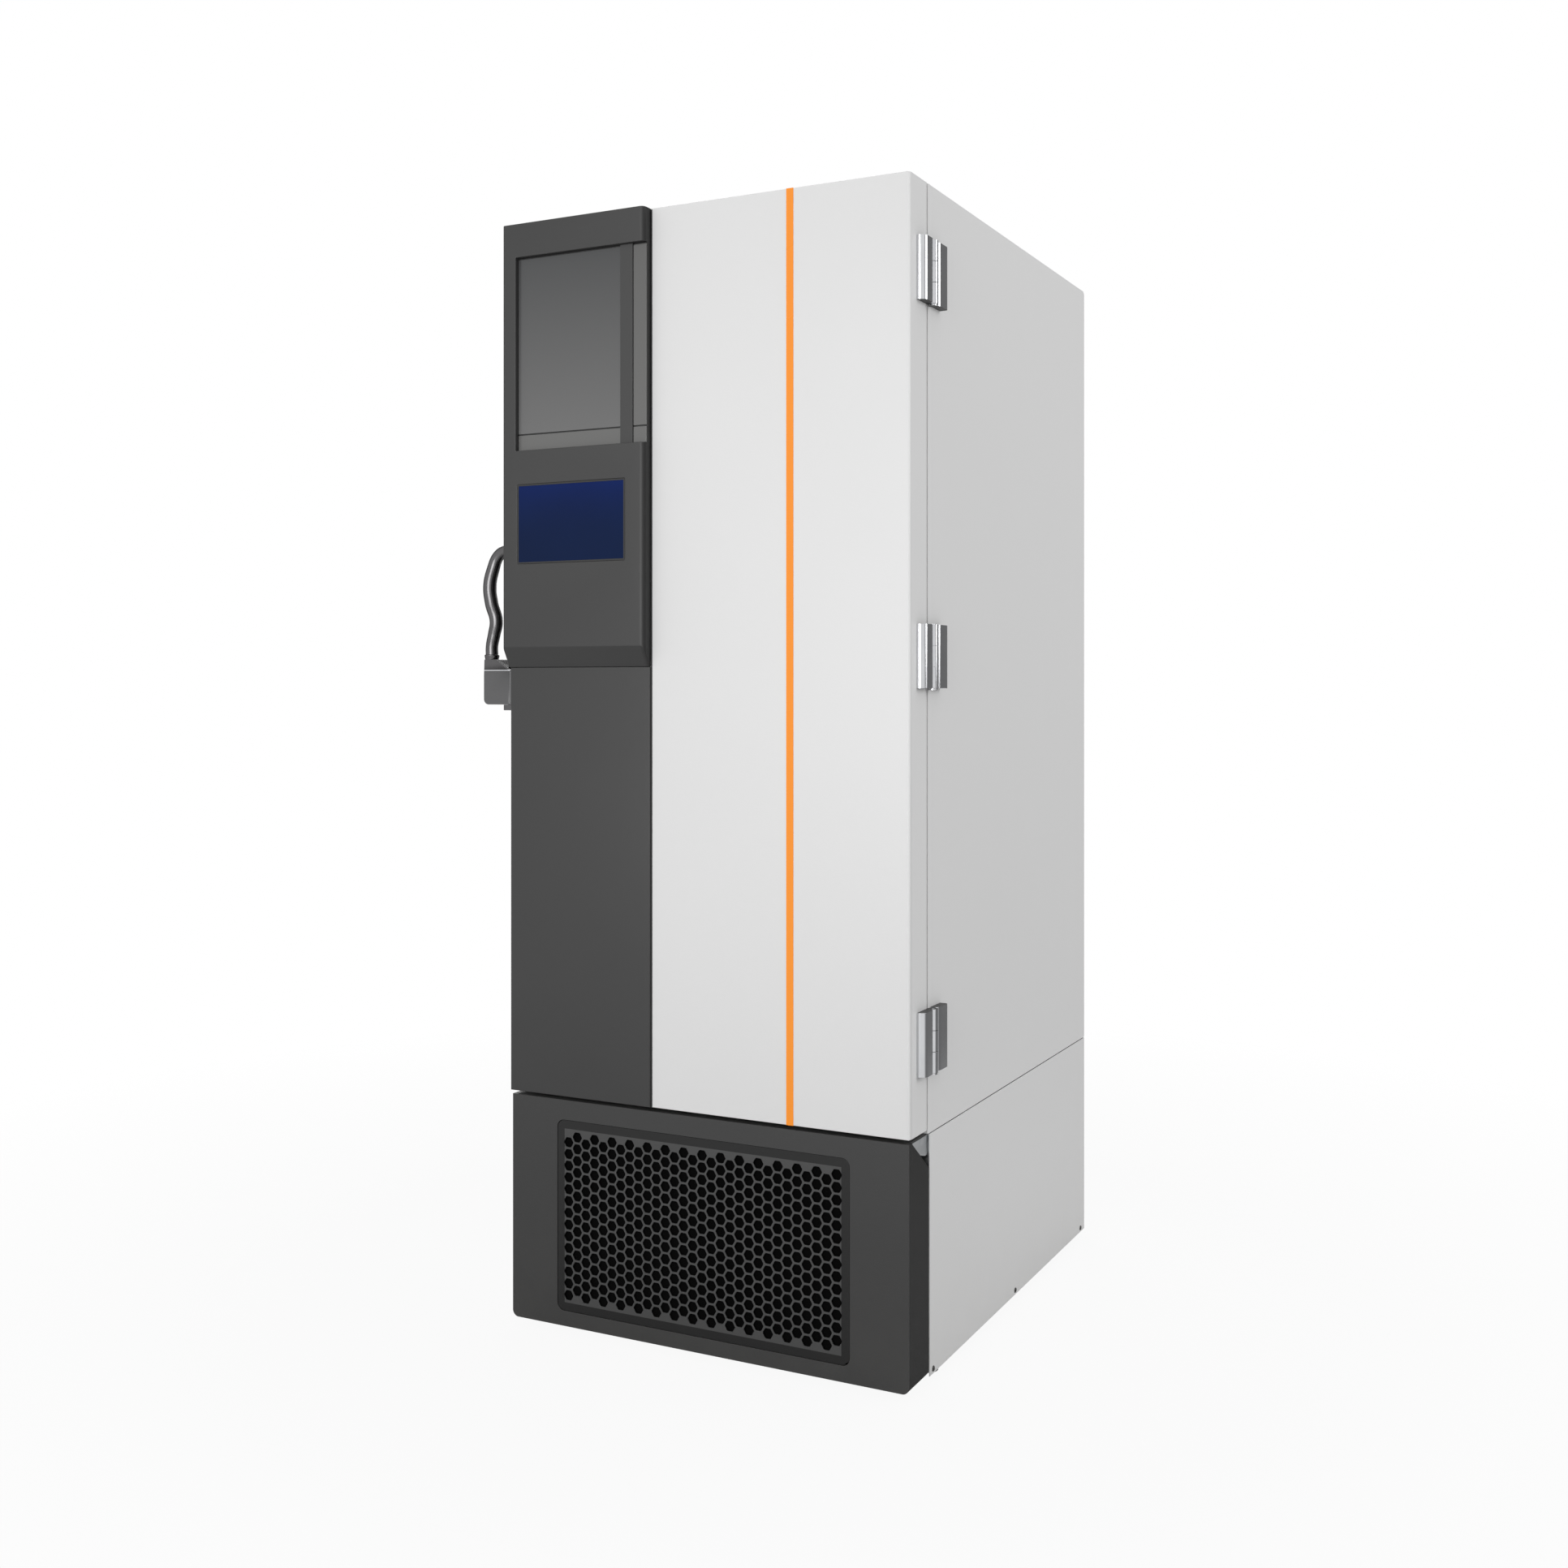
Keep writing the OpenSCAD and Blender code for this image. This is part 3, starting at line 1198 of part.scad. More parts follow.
module heat_exchanger() color([0.1, 0.1, 0.1]) {
  translate([exchanger_x, exchanger_y, pan_top + seat])
    linear_extrude(exchanger_h) round_rect(exchanger_w, exchanger_d, 18);
  for (x = stub_xs) translate([x, stub_y, pan_top + seat + exchanger_h]) cylinder(h = stub_h, r = 14);
}

module refrigerant_pipes() color("peru") {
  sep_y = exchanger_y - 20;
  low_z = compressor_top + 28;
  high_z = compressor_top + 44;
  // oil separator standing on the pan, and its discharge line from the first compressor
  translate([bay_mid, sep_y, pan_top + seat]) cylinder(h = separator_h, r = separator_r);
  pipe([[compressor_xs[0], compressor_y, compressor_top + seat], [compressor_xs[0], compressor_y, low_z],
        [bay_mid, compressor_y, low_z], [bay_mid, sep_y, low_z],
        [bay_mid, sep_y, pan_top + separator_h - 10]], pipe_r);
  // second compressor to the heat exchanger's right stub
  pipe([[compressor_xs[1], compressor_y, compressor_top + seat], [compressor_xs[1], compressor_y, high_z],
        [compressor_xs[1], stub_y, high_z], [stub_xs[1], stub_y, high_z],
        [stub_xs[1], stub_y, exchanger_top + seat]], pipe_r);
  // condenser outlet, filter drier and the line back to the left stub
  drier_x = exchanger_x + exchanger_w / 8;
  outlet_y = condenser_y + condenser_d / 2;
  outlet_z = exchanger_top + 8;
  pipe([[bay_x - weld_gap, outlet_y, outlet_z], [drier_x, outlet_y, outlet_z],
        [drier_x, stub_y, outlet_z], [drier_x, stub_y, outlet_z + 18],
        [stub_xs[0], stub_y, outlet_z + 18], [stub_xs[0], stub_y, exchanger_top + seat]], pipe_r);
  translate([drier_x, compressor_y - 150, outlet_z]) rotate([-90, 0, 0]) cylinder(h = drier_l, r = drier_r);
}

module control_box() color([0.7, 0.71, 0.72]) {
  z = pan_top + seat;
  block(control_x, control_x + control_w, control_y, control_y + control_d, z, z + control_h);
  block(control_x - 3, control_x + control_w + 3, control_y - 3, control_y + control_d + 3,
    z + control_h + weld_gap, z + control_h + 8);
  // the backup battery beside it
  translate([battery_x, control_y + 60, z]) difference() {
    cube([battery_w, battery_d, battery_h]);
    translate([-1, -1, battery_h - 6]) cube([12, battery_d + 2, 10]);
  }
  for (dy = [20, battery_d - 20]) translate([battery_x + battery_w / 2 + 1, control_y + 60 + dy, z + battery_h])
    cylinder(h = 8, r = 6);
}

module power_inlet() color([0.15, 0.15, 0.15]) {
  difference() {
    union() {
      block(inlet_x - 30, inlet_x + 30, rear_y, rear_y + 3, inlet_z - 22, inlet_z + 22);
      block(inlet_x - 24.7, inlet_x + 24.7, rear_y - 32, rear_y, inlet_z - 15.7, inlet_z + 15.7);
    }
    block(inlet_x - 19, inlet_x + 19, rear_y - 22, rear_y + 4, inlet_z - 12, inlet_z + 12);
  }
  for (dx = [-9, 0, 9]) block(inlet_x + dx - 1, inlet_x + dx + 1, rear_y - 23, rear_y - 6, inlet_z - 4, inlet_z + 4);
  // frame of the main switch
  difference() {
    union() {
      block(inlet_x - 66, inlet_x - 34, rear_y, rear_y + 3, inlet_z - 15, inlet_z + 15);
      block(inlet_x - 61.7, inlet_x - 38.3, rear_y - 24, rear_y, inlet_z - 10.7, inlet_z + 10.7);
    }
    block(inlet_x - 59, inlet_x - 41, rear_y - 16, rear_y + 4, inlet_z - 9, inlet_z + 9);
  }
}

module power_rocker() color([0.2, 0.2, 0.2]) {
  translate([inlet_x - 50, rear_y - 3, inlet_z]) rotate([rocker_tilt, 0, 0]) rotate([90, 0, 90])
    translate([0, 0, -8.5]) linear_extrude(17) {
      circle(5.4);
      polygon([[0, -6.6], [5, -7], [4, 0], [5, 7], [0, 6.6]]);
    }
}

module rear_bumpers() color([0.15, 0.15, 0.15]) {
  for (x = [left_x + 90, right_x - 90], z = [bay_top + 60, top_z - 160])
    translate([x - 30, 0, z]) front_plate(rear_y, bumper_t) round_rect(60, 90, 10);
}

base_pan();
base_frame();
lower_side_panels();
rear_service_panel();
outer_shell();
rear_panel();
cabinet_floor();
front_frame();
insulation_foam();
vacuum_panels();
inner_liner();
evaporator_coil();
shelf_supports();
shelves();
inner_hinge_brackets();
cabinet_hinge_leaves();
latch_striker();
compressors();
condenser();
fan_shroud();
fan_motor();
heat_exchanger();
refrigerant_pipes();
control_box();
power_inlet();
rear_bumpers();
caster_plates();
cover_hinge_brackets();
panel_screws();
door_shell();
door_foam();
door_liner();
door_gasket();
accent_strip();
lower_panel();
console_housing();
console_window();
touch_screen();
door_hinge_leaves();
handle_base();
handle_bar();
handle_block();
lock_barrel();
inner_door_upper();
inner_door_lower();
base_cover();
front_grille();
air_filter();
fan_blades();
power_rocker();
levelling_foot(0);  // levelling_foot_left
levelling_foot(1);  // levelling_foot_right
caster_fork(0);  // caster_fork_1
caster_fork(1);  // caster_fork_2
caster_fork(2);  // caster_fork_3
caster_fork(3);  // caster_fork_4
caster_wheel(0);  // caster_wheel_1
caster_wheel(1);  // caster_wheel_2
caster_wheel(2);  // caster_wheel_3
caster_wheel(3);  // caster_wheel_4
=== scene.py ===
# %% [markdown]
# # An upright ultra low temperature freezer
# The frame holds the freezer as separate rigid nodes, already in place and already able to move.
# This lesson dresses them: it remodels the pieces whose edges and folds the eye meets first, and gives
# every other node a finish built from nodes. Each step says what the piece is on the real freezer,
# how it could be made, and why it is made this way.

# %% Load the frame
import json
import math

import bpy
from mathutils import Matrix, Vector


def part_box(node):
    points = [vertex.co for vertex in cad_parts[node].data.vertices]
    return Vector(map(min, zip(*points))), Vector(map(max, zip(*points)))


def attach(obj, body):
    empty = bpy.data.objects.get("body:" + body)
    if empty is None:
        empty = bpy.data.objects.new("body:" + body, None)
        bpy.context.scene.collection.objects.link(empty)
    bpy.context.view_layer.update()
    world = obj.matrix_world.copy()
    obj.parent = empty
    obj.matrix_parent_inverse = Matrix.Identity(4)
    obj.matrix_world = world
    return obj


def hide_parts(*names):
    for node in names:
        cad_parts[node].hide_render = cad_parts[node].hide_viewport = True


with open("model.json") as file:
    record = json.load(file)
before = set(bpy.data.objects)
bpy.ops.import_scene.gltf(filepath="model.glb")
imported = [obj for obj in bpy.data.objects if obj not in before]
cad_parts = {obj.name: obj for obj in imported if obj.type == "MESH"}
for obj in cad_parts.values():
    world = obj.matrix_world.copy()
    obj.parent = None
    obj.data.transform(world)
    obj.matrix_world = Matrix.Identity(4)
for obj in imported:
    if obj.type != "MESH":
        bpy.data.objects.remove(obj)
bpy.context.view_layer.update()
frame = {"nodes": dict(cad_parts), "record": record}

MM = 0.001

# %% [markdown]
# ## Camera
# The photograph was taken level, from the front right, at about the middle of the freezer's height.
# A level camera keeps all upright edges parallel, so the picture is framed with the lens shift and
# not by tilting. Place, turn and focal length were fitted to the edges of the body.

# %% Camera
CAMERA_PLACE = (1.4678, -3.0012, 1.1491)
CAMERA_YAW = 26.84
IMAGE_SIDE = 1932
FOCAL_PIXELS = 2103.8
HORIZON_ROW = 844.2
SENSOR = 36.0

camera_data = bpy.data.cameras.new("camera")
camera_data.sensor_width = SENSOR
camera_data.lens = FOCAL_PIXELS / IMAGE_SIDE * SENSOR
camera_data.shift_y = (HORIZON_ROW - IMAGE_SIDE / 2) / IMAGE_SIDE
camera = bpy.data.objects.new("camera", camera_data)
camera.location = CAMERA_PLACE
camera.rotation_euler = (math.radians(90), 0, math.radians(CAMERA_YAW))
bpy.context.scene.collection.objects.link(camera)
bpy.context.scene.camera = camera
print("lens", round(camera_data.lens, 2), "shift", round(camera_data.shift_y, 4))

# %% [markdown]
# ## Small helpers for modelling
# Blender's operators act on whatever is selected, and the loaded nodes are selected. So every step
# starts by clearing the selection. Faces and edges are chosen by place or direction, which keeps a
# step readable and lets it survive a change of size.


# %% Selecting one object, faces or edges
PAST = 10 * MM  # how far a cutting tool reaches past the surface that it opens
NEAR = 0.1 * MM  # how close an edge lies to the plane that it is looked for in
TALL = 100 * MM  # longer than any edge of a slant or a rounded corner


def only(piece):
    """Selects one object and makes it active."""
    bpy.ops.object.select_all(action="DESELECT")
    piece.select_set(True)
    bpy.context.view_layer.objects.active = piece


def choose_nothing(piece, mode):
    """Clears the piece's selection and sets whether vertices, edges or faces are selected."""
    only(piece)
    mesh = piece.data
    for part in (mesh.vertices, mesh.edges, mesh.polygons):
        part.foreach_set("select", [False] * len(part))
    bpy.context.tool_settings.mesh_select_mode = mode
    return mesh


def choose_faces(piece, wanted):
    """Opens edit mode with the faces selected whose centre and normal wanted() accepts."""
    for face in choose_nothing(piece, (False, False, True)).polygons:
        face.select = bool(wanted(face.center, face.normal))
    bpy.ops.object.mode_set(mode="EDIT")


def choose_edges(piece, wanted):
    """Opens edit mode with the edges selected whose two ends wanted() accepts."""
    mesh = choose_nothing(piece, (False, True, False))
    for edge in mesh.edges:
        a, b = (mesh.vertices[i].co for i in edge.vertices)
        edge.select = bool(wanted(a, b))
    bpy.ops.object.mode_set(mode="EDIT")


def object_mode():
    """Leaves edit mode, which writes the changes back to the mesh."""
    bpy.ops.object.mode_set(mode="OBJECT")


def bevel_edges(piece, wanted, radius, segments):
    """Rounds the edges whose two ends wanted() accepts."""
    choose_edges(piece, wanted)
    bpy.ops.mesh.bevel(offset=radius, segments=segments, affect="EDGES")
    object_mode()


def smooth(piece, angle):
    """Smooths the light over every edge that is flatter than the angle."""
    only(piece)
    bpy.ops.object.shade_smooth_by_angle(angle=math.radians(angle))


# %% Blocks that start from the cube primitive
def settle(name):
    """Names the new active object and moves its place, turn and scale into its mesh."""
    piece = bpy.context.active_object
    piece.name = name
    piece.data.name = name
    only(piece)
    bpy.ops.object.transform_apply(location=True, rotation=True, scale=True)
    return piece


def block(name, low, high):
    """A box between two corners, started from the cube primitive."""
    low = Vector(low)
    high = Vector(high)
    bpy.ops.object.select_all(action="DESELECT")
    bpy.ops.mesh.primitive_cube_add(size=1, location=(low + high) / 2, scale=high - low)
    return settle(name)


# %% Modifiers, cuts and soft edges
def apply_modifier(piece, kind, **settings):
    """Adds one modifier with its settings and applies it."""
    only(piece)
    modifier = piece.modifiers.new(kind.lower(), kind)
    for key, value in settings.items():
        setattr(modifier, key, value)
    bpy.ops.object.modifier_apply(modifier=modifier.name)
    return piece


def cut(piece, tool):
    """Takes the tool's volume out of the piece and deletes the tool."""
    apply_modifier(piece, "BOOLEAN", operation="DIFFERENCE", object=tool, solver="EXACT")
    bpy.data.objects.remove(tool)
    return piece


def soften(piece, width, segments=2, angle=25, clamp=True):
    """Rounds every edge sharper than the angle and keeps the faces between them flat in the light."""
    only(piece)
    bpy.ops.object.shade_smooth()
    apply_modifier(
        piece,
        "BEVEL",
        width=width,
        segments=segments,
        limit_method="ANGLE",
        angle_limit=math.radians(angle),
        use_clamp_overlap=clamp,
        miter_outer="MITER_ARC",
        harden_normals=True,
    )
    return piece


# %% Joining pieces and handing them over
def join(first, *others):
    """Makes several objects one piece."""
    only(first)
    for other in others:
        other.select_set(True)
    bpy.ops.object.join()
    return first


def dress(piece, body, slot, material, *nodes):
    """Gives a finished piece its finish, its body and the CAD nodes that it stands for."""
    piece.data.materials.clear()
    piece.data.materials.append(material)
    if nodes:
        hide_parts(*nodes)
    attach(piece, body)
    return piece


# %% [markdown]
# ## Effects that the finishes share
# Paint, plastic and metal all show a fine surface and slow changes of tone. Each effect is one node
# group with named inputs, so that a material places it with its own scale. A group hands out only
# masks and heights. The shader stays in the material.


# %% Node groups and single nodes
def new_group(name, inputs, outputs):
    """A shader node group with float inputs {name: value} and float outputs [name]."""
    group = bpy.data.node_groups.new(name, "ShaderNodeTree")
    for key, value in inputs.items():
        socket = group.interface.new_socket(key, in_out="INPUT", socket_type="NodeSocketFloat")
        socket.default_value = value
    for key in outputs:
        group.interface.new_socket(key, in_out="OUTPUT", socket_type="NodeSocketFloat")
    source = group.nodes.new("NodeGroupInput")
    sink = group.nodes.new("NodeGroupOutput")
    return group, source, sink


def feed(socket, value):
    """Puts a plain value, or a link from an output socket, into an input socket."""
    if isinstance(value, bpy.types.NodeSocket):
        socket.id_data.links.new(value, socket)
    else:
        socket.default_value = value


def set_inputs(node, **inputs):
    """Feeds inputs of a node, by name with _ for a space."""
    for key, value in inputs.items():
        feed(node.inputs[key.replace("_", " ")], value)
    return node


def add(tree, kind, **inputs):
    """A new node with its inputs set."""
    return set_inputs(tree.nodes.new("ShaderNode" + kind), **inputs)


def math_node(tree, operation, a, b=None, clamp=False):
    """A maths node. Each operand is a number or an output socket."""
    node = add(tree, "Math")
    node.operation = operation
    node.use_clamp = clamp
    feed(node.inputs[0], a)
    if b is not None:
        feed(node.inputs[1], b)
    return node.outputs[0]


def ranged(tree, value, low, high, start=0.0, end=1.0):
    """A value stretched so that start becomes low and end becomes high, and held outside them."""
    ends = {"From_Min": start, "From_Max": end, "To_Min": low, "To_Max": high}
    return add(tree, "MapRange", Value=value, **ends).outputs["Result"]


# %% Object coordinates, whole, by axis or scaled
def object_place(tree):
    """Object coordinates in metres."""
    return add(tree, "TexCoord").outputs["Object"]


def object_axes(tree):
    """Object coordinates as the outputs X, Y and Z."""
    return add(tree, "SeparateXYZ", Vector=object_place(tree)).outputs


def scaled_place(tree, scale_socket):
    """Object coordinates times a group's scale input."""
    scale = add(tree, "VectorMath")
    scale.operation = "SCALE"
    return set_inputs(scale, Vector=object_place(tree), Scale=scale_socket).outputs[0]


# %% Fine grain and slow tone
def make_fine_grain():
    """Height of a fine random surface, such as powder coat or moulded plastic."""
    group, source, sink = new_group("fine_grain", {"Scale": 900.0, "Roughness": 0.55}, ["Height"])
    place = scaled_place(group, source.outputs["Scale"])
    roughness = source.outputs["Roughness"]
    noise = add(group, "TexNoise", Vector=place, Scale=1.0, Detail=3.0, Roughness=roughness)
    set_inputs(sink, Height=noise.outputs["Fac"])
    return group


def make_slow_tone():
    """A mask from 0 to 1 that drifts over the surface, for uneven tone and gloss."""
    group, source, sink = new_group("slow_tone", {"Scale": 3.0, "Contrast": 1.6}, ["Mask"])
    place = scaled_place(group, source.outputs["Scale"])
    noise = add(group, "TexNoise", Vector=place, Scale=1.0, Detail=4.0, Roughness=0.5)
    centred = math_node(group, "SUBTRACT", noise.outputs["Fac"], 0.5)
    wider = math_node(group, "MULTIPLY", centred, source.outputs["Contrast"])
    set_inputs(sink, Mask=math_node(group, "ADD", wider, 0.5, clamp=True))
    return group


FINE_GRAIN = make_fine_grain()
SLOW_TONE = make_slow_tone()
print("grain and tone:", FINE_GRAIN.name, SLOW_TONE.name)


# %% Settled dust
def make_settled_dust():
    """A mask of dust: more on faces that look up, and more towards the floor."""
    group, source, sink = new_group("settled_dust", {"Top": 0.5, "Floor Height": 0.25}, ["Mask"])
    normal = add(group, "SeparateXYZ", Vector=add(group, "NewGeometry").outputs["Normal"])
    up = math_node(group, "MAXIMUM", normal.outputs["Z"], 0.0)
    on_top = math_node(group, "MULTIPLY", up, source.outputs["Top"])
    low = math_node(group, "DIVIDE", object_axes(group)["Z"], source.outputs["Floor Height"])
    near_floor = math_node(group, "SUBTRACT", 1.0, low, clamp=True)
    both = math_node(group, "ADD", on_top, math_node(group, "MULTIPLY", near_floor, 0.5), clamp=True)
    noise = add(
        group, "TexNoise", Vector=object_place(group), Scale=14.0, Detail=5.0, Roughness=0.6
    )
    set_inputs(sink, Mask=math_node(group, "MULTIPLY", both, noise.outputs["Fac"]))
    return group


SETTLED_DUST = make_settled_dust()
print("dust:", SETTLED_DUST.name)


# %% Brush lines
def make_brush_lines():
    """Height of fine level lines, from a noise that is stretched along X."""
    group, source, sink = new_group("brush_lines", {"Along": 4.0, "Across": 900.0}, ["Height"])
    axes = object_axes(group)
    joined = add(group, "CombineXYZ")
    for axis, scale in (("X", "Along"), ("Y", "Across"), ("Z", "Across")):
        feed(joined.inputs[axis], math_node(group, "MULTIPLY", axes[axis], source.outputs[scale]))
    place = joined.outputs[0]
    noise = add(group, "TexNoise", Vector=place, Scale=1.0, Detail=2.0, Roughness=0.6)
    set_inputs(sink, Height=noise.outputs["Fac"])
    return group


BRUSH_LINES = make_brush_lines()
print("shared effects:", [g.name for g in bpy.data.node_groups])

# %% [markdown]
# ## A material from few words
# Almost every finish here is one Principled shader whose colour drifts a little between two close
# tones, whose roughness drifts with it, and whose surface has a fine height. One function makes that
# pattern, and each finish then adds what is its own.


# %% Colours and groups in a material
def srgb(value):
    """One channel as it reads in the picture, 0 to 255, to the linear value of a shader."""
    value = value / 255
    return value / 12.92 if value <= 0.04045 else ((value + 0.055) / 1.055) ** 2.4


def colour(*values):
    """A shader colour from three picture values, or a grey from one."""
    red, green, blue = values if len(values) == 3 else values * 3
    return (srgb(red), srgb(green), srgb(blue), 1.0)


def place_group(tree, group, **inputs):
    """A node group in a tree, with the values of its inputs."""
    node = add(tree, "Group")
    node.node_tree = group
    return set_inputs(node, **inputs)


def mix_colours(tree, mask, a, b, blend="MIX"):
    """A colour between a and b by a mask. Each is a value or an output socket."""
    node = add(tree, "Mix")
    node.data_type = "RGBA"
    node.blend_type = blend
    feed(node.inputs["Factor"], mask)
    for key, value in (("A", a), ("B", b)):
        feed(next(s for s in node.inputs if s.name == key and s.type == "RGBA"), value)
    return next(s for s in node.outputs if s.type == "RGBA")


# %% One function for every finish
DUST_SHARE = 0.35


def finish(name, tones, roughness, grain=(900.0, 0.05), tone_scale=3.0, dust=None, **shader):
    """A material: two tones, a roughness range, a grain (scale, strength) and optional dust."""
    material = bpy.data.materials.new(name)
    material.use_nodes = True
    tree = material.node_tree
    bsdf = set_inputs(tree.nodes["Principled BSDF"], **shader)
    tone = place_group(tree, SLOW_TONE, Scale=tone_scale).outputs["Mask"]
    base = mix_colours(tree, tone, *tones)
    if dust:
        dust_mask = place_group(tree, SETTLED_DUST).outputs["Mask"]
        base = mix_colours(tree, math_node(tree, "MULTIPLY", dust_mask, DUST_SHARE), base, dust)
    height = place_group(tree, FINE_GRAIN, Scale=grain[0]).outputs["Height"]
    bump = add(tree, "Bump", Height=height, Strength=grain[1], Distance=MM)
    gloss = ranged(tree, tone, *roughness)
    set_inputs(bsdf, Base_Color=base, Roughness=gloss, Normal=bump.outputs["Normal"])
    return material


# %% Changing a finish that is already made
def shader_of(material):
    return material.node_tree, material.node_tree.nodes["Principled BSDF"]


def regrain(material, height, strength):
    """Gives the material another surface height in place of its grain."""
    bump = next(n for n in material.node_tree.nodes if n.type == "BUMP")
    set_inputs(bump, Height=height, Strength=strength)
    return material


def retone(material, mask, tone):
    """Lets another tone cover the material's own where the mask is 1."""
    tree, bsdf = shader_of(material)
    plain = bsdf.inputs["Base Color"].links[0].from_socket
    set_inputs(bsdf, Base_Color=mix_colours(tree, mask, plain, tone))
    return material


# %% [markdown]
# ## Painted sheet steel
# The door, the sides and the lid are steel sheet with a white powder coat: nearly neutral, satin, with
# the faint orange peel of a baked powder. The base cover has the same coat in graphite. A coat layer
# over the paint gives the soft sheen without making the colour glossy. Two places of the cover get a
# painted tone, each from a box of object coordinates inside the paint: a painted highlight on the front
# of the webs between the holes of its grille, which face the light and read paler than the grille's
# margin, and a painted shade on its right side, which turns away from the light and stays dark.

# %% Painted finishes
white_coat = finish(
    "white_powder_coat",
    (colour(229), colour(225)),
    (0.42, 0.5),
    grain=(420.0, 0.10),
    tone_scale=1.7,
    dust=colour(205, 202, 196),
    Coat_Weight=0.05,
    Coat_Roughness=0.3,
)
graphite_coat = finish(
    "graphite_powder_coat",
    (colour(50), colour(46)),
    (0.46, 0.56),
    grain=(700.0, 0.16),
    dust=colour(100, 98, 94),
    Specular_IOR_Level=0.5,
)
graphite_grille = finish(
    "graphite_grille_coat",
    (colour(34), colour(30)),
    (0.36, 0.46),
    grain=(700.0, 0.12),
    Specular_IOR_Level=0.3,
)
black_coat = finish("black_enamel", (colour(30), colour(24)), (0.28, 0.4), dust=colour(105, 100, 92))
dark_coat = finish("dark_steel_coat", (colour(58), colour(50)), (0.4, 0.5), dust=colour(110, 105, 98))
print("painted finishes made")


# %% Painted highlight on the grille's webs and painted shade on the cover's side
def retone_inside(material, low, high, tone):
    """Gives the surface inside a box of object coordinates another tone: here painted light and painted
    shade.
    """
    tree = material.node_tree
    axes = object_axes(tree)
    mask = 1.0
    for axis, start, end in zip("XYZ", low, high):
        away = math_node(tree, "SUBTRACT", axes[axis], (start + end) / 2)
        inside = math_node(tree, "LESS_THAN", math_node(tree, "ABSOLUTE", away), (end - start) / 2)
        mask = math_node(tree, "MULTIPLY", inside, mask)
    return retone(material, mask, tone)


GRILLE_MARGIN = 15 * MM
WEB_DEPTH = 0.2 * MM
grille_low, grille_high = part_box("front_grille")
# Painted highlight: the front faces of the grille's webs, inside its margin, take a paler tone.
retone_inside(
    graphite_grille,
    grille_low + Vector((GRILLE_MARGIN, -MM, GRILLE_MARGIN)),
    (grille_high.x - GRILLE_MARGIN, grille_low.y + WEB_DEPTH, grille_high.z - GRILLE_MARGIN),
    colour(72),
)
cover_low, cover_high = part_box("base_cover")
# Painted shade: the cover's right side return takes a near black tone, as it turns away from the light.
retone_inside(
    graphite_coat,
    (cover_high.x - 2 * MM, cover_low.y + 2 * MM, cover_low.z - MM),
    (cover_high.x + MM, cover_high.y + MM, cover_high.z + MM),
    colour(9),
)
print("grille from", [round(v, 3) for v in grille_low], "to", [round(v, 3) for v in grille_high])

# %% [markdown]
# ## Moulded plastics and rubber
# The console is moulded in charcoal plastic with a fine matt grain. Seals are rubber, which scatters
# light at its edge, so it gets a little sheen. Thermoformed liners are glossier white plastic. The
# console's right edge is rounded and turns away from the light, so a painted shade comes in towards it.

# %% Plastic and rubber finishes
charcoal_plastic = finish(
    "charcoal_plastic",
    (colour(51), colour(47)),
    (0.46, 0.54),
    grain=(1300.0, 0.14),
    dust=colour(100, 98, 94),
    Specular_IOR_Level=0.5,
)
handle_plastic = finish(
    "handle_plastic",
    (colour(90, 90, 91), colour(83, 83, 84)),
    (0.36, 0.44),
    grain=(1100.0, 0.08),
)
black_plastic = finish("black_plastic", (colour(34), colour(28)), (0.4, 0.5), grain=(1100.0, 0.12))
white_plastic = finish(
    "thermoformed_white",
    (colour(229, 229, 228), colour(223, 223, 222)),
    (0.28, 0.36),
    grain=(60.0, 0.05),
)
seal_rubber = finish(
    "seal_rubber",
    (colour(92, 92, 93), colour(82, 82, 83)),
    (0.62, 0.75),
    grain=(1500.0, 0.1),
    Sheen_Weight=0.25,
    Sheen_Roughness=0.4,
)
caster_rubber = finish(
    "caster_rubber", (colour(50, 50, 52), colour(42, 42, 44)), (0.6, 0.75), dust=colour(120, 114, 104)
)
orange_trim = finish(
    "orange_trim",
    (colour(255, 150, 10), colour(252, 143, 6)),
    (0.22, 0.3),
    grain=(500.0, 0.03),
    Coat_Weight=0.3,
    Coat_Roughness=0.08,
)
print("plastic finishes made")


# %% Painted shade towards the console's right edge
def shade_right_edge(material, start, end, above, tone):
    """Lets a painted shade come in from start to end along X, on what lies above a height."""
    tree = material.node_tree
    axes = object_axes(tree)
    ramp = ranged(tree, axes["X"], 0.0, 1.0, start, end)
    high = math_node(tree, "GREATER_THAN", axes["Z"], above)
    return retone(material, math_node(tree, "MULTIPLY", ramp, high), tone)


RIGHT_RADIUS = 9 * MM
console_low, console_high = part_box("console_housing")
# Painted shade: a near black tone over the last 9 mm of the console towards its right side.
shade_right_edge(
    charcoal_plastic, console_high.x - RIGHT_RADIUS, console_high.x, console_low.z, colour(8)
)
print("console from", [round(v, 3) for v in console_low], "to", [round(v, 3) for v in console_high])

# %% [markdown]
# ## Metals
# The hinges are polished chrome, the grip is a darker smoked chrome, the liner and the shelves are
# brushed stainless steel, and the hidden frame is galvanised sheet, whose zinc shows flat crystals.

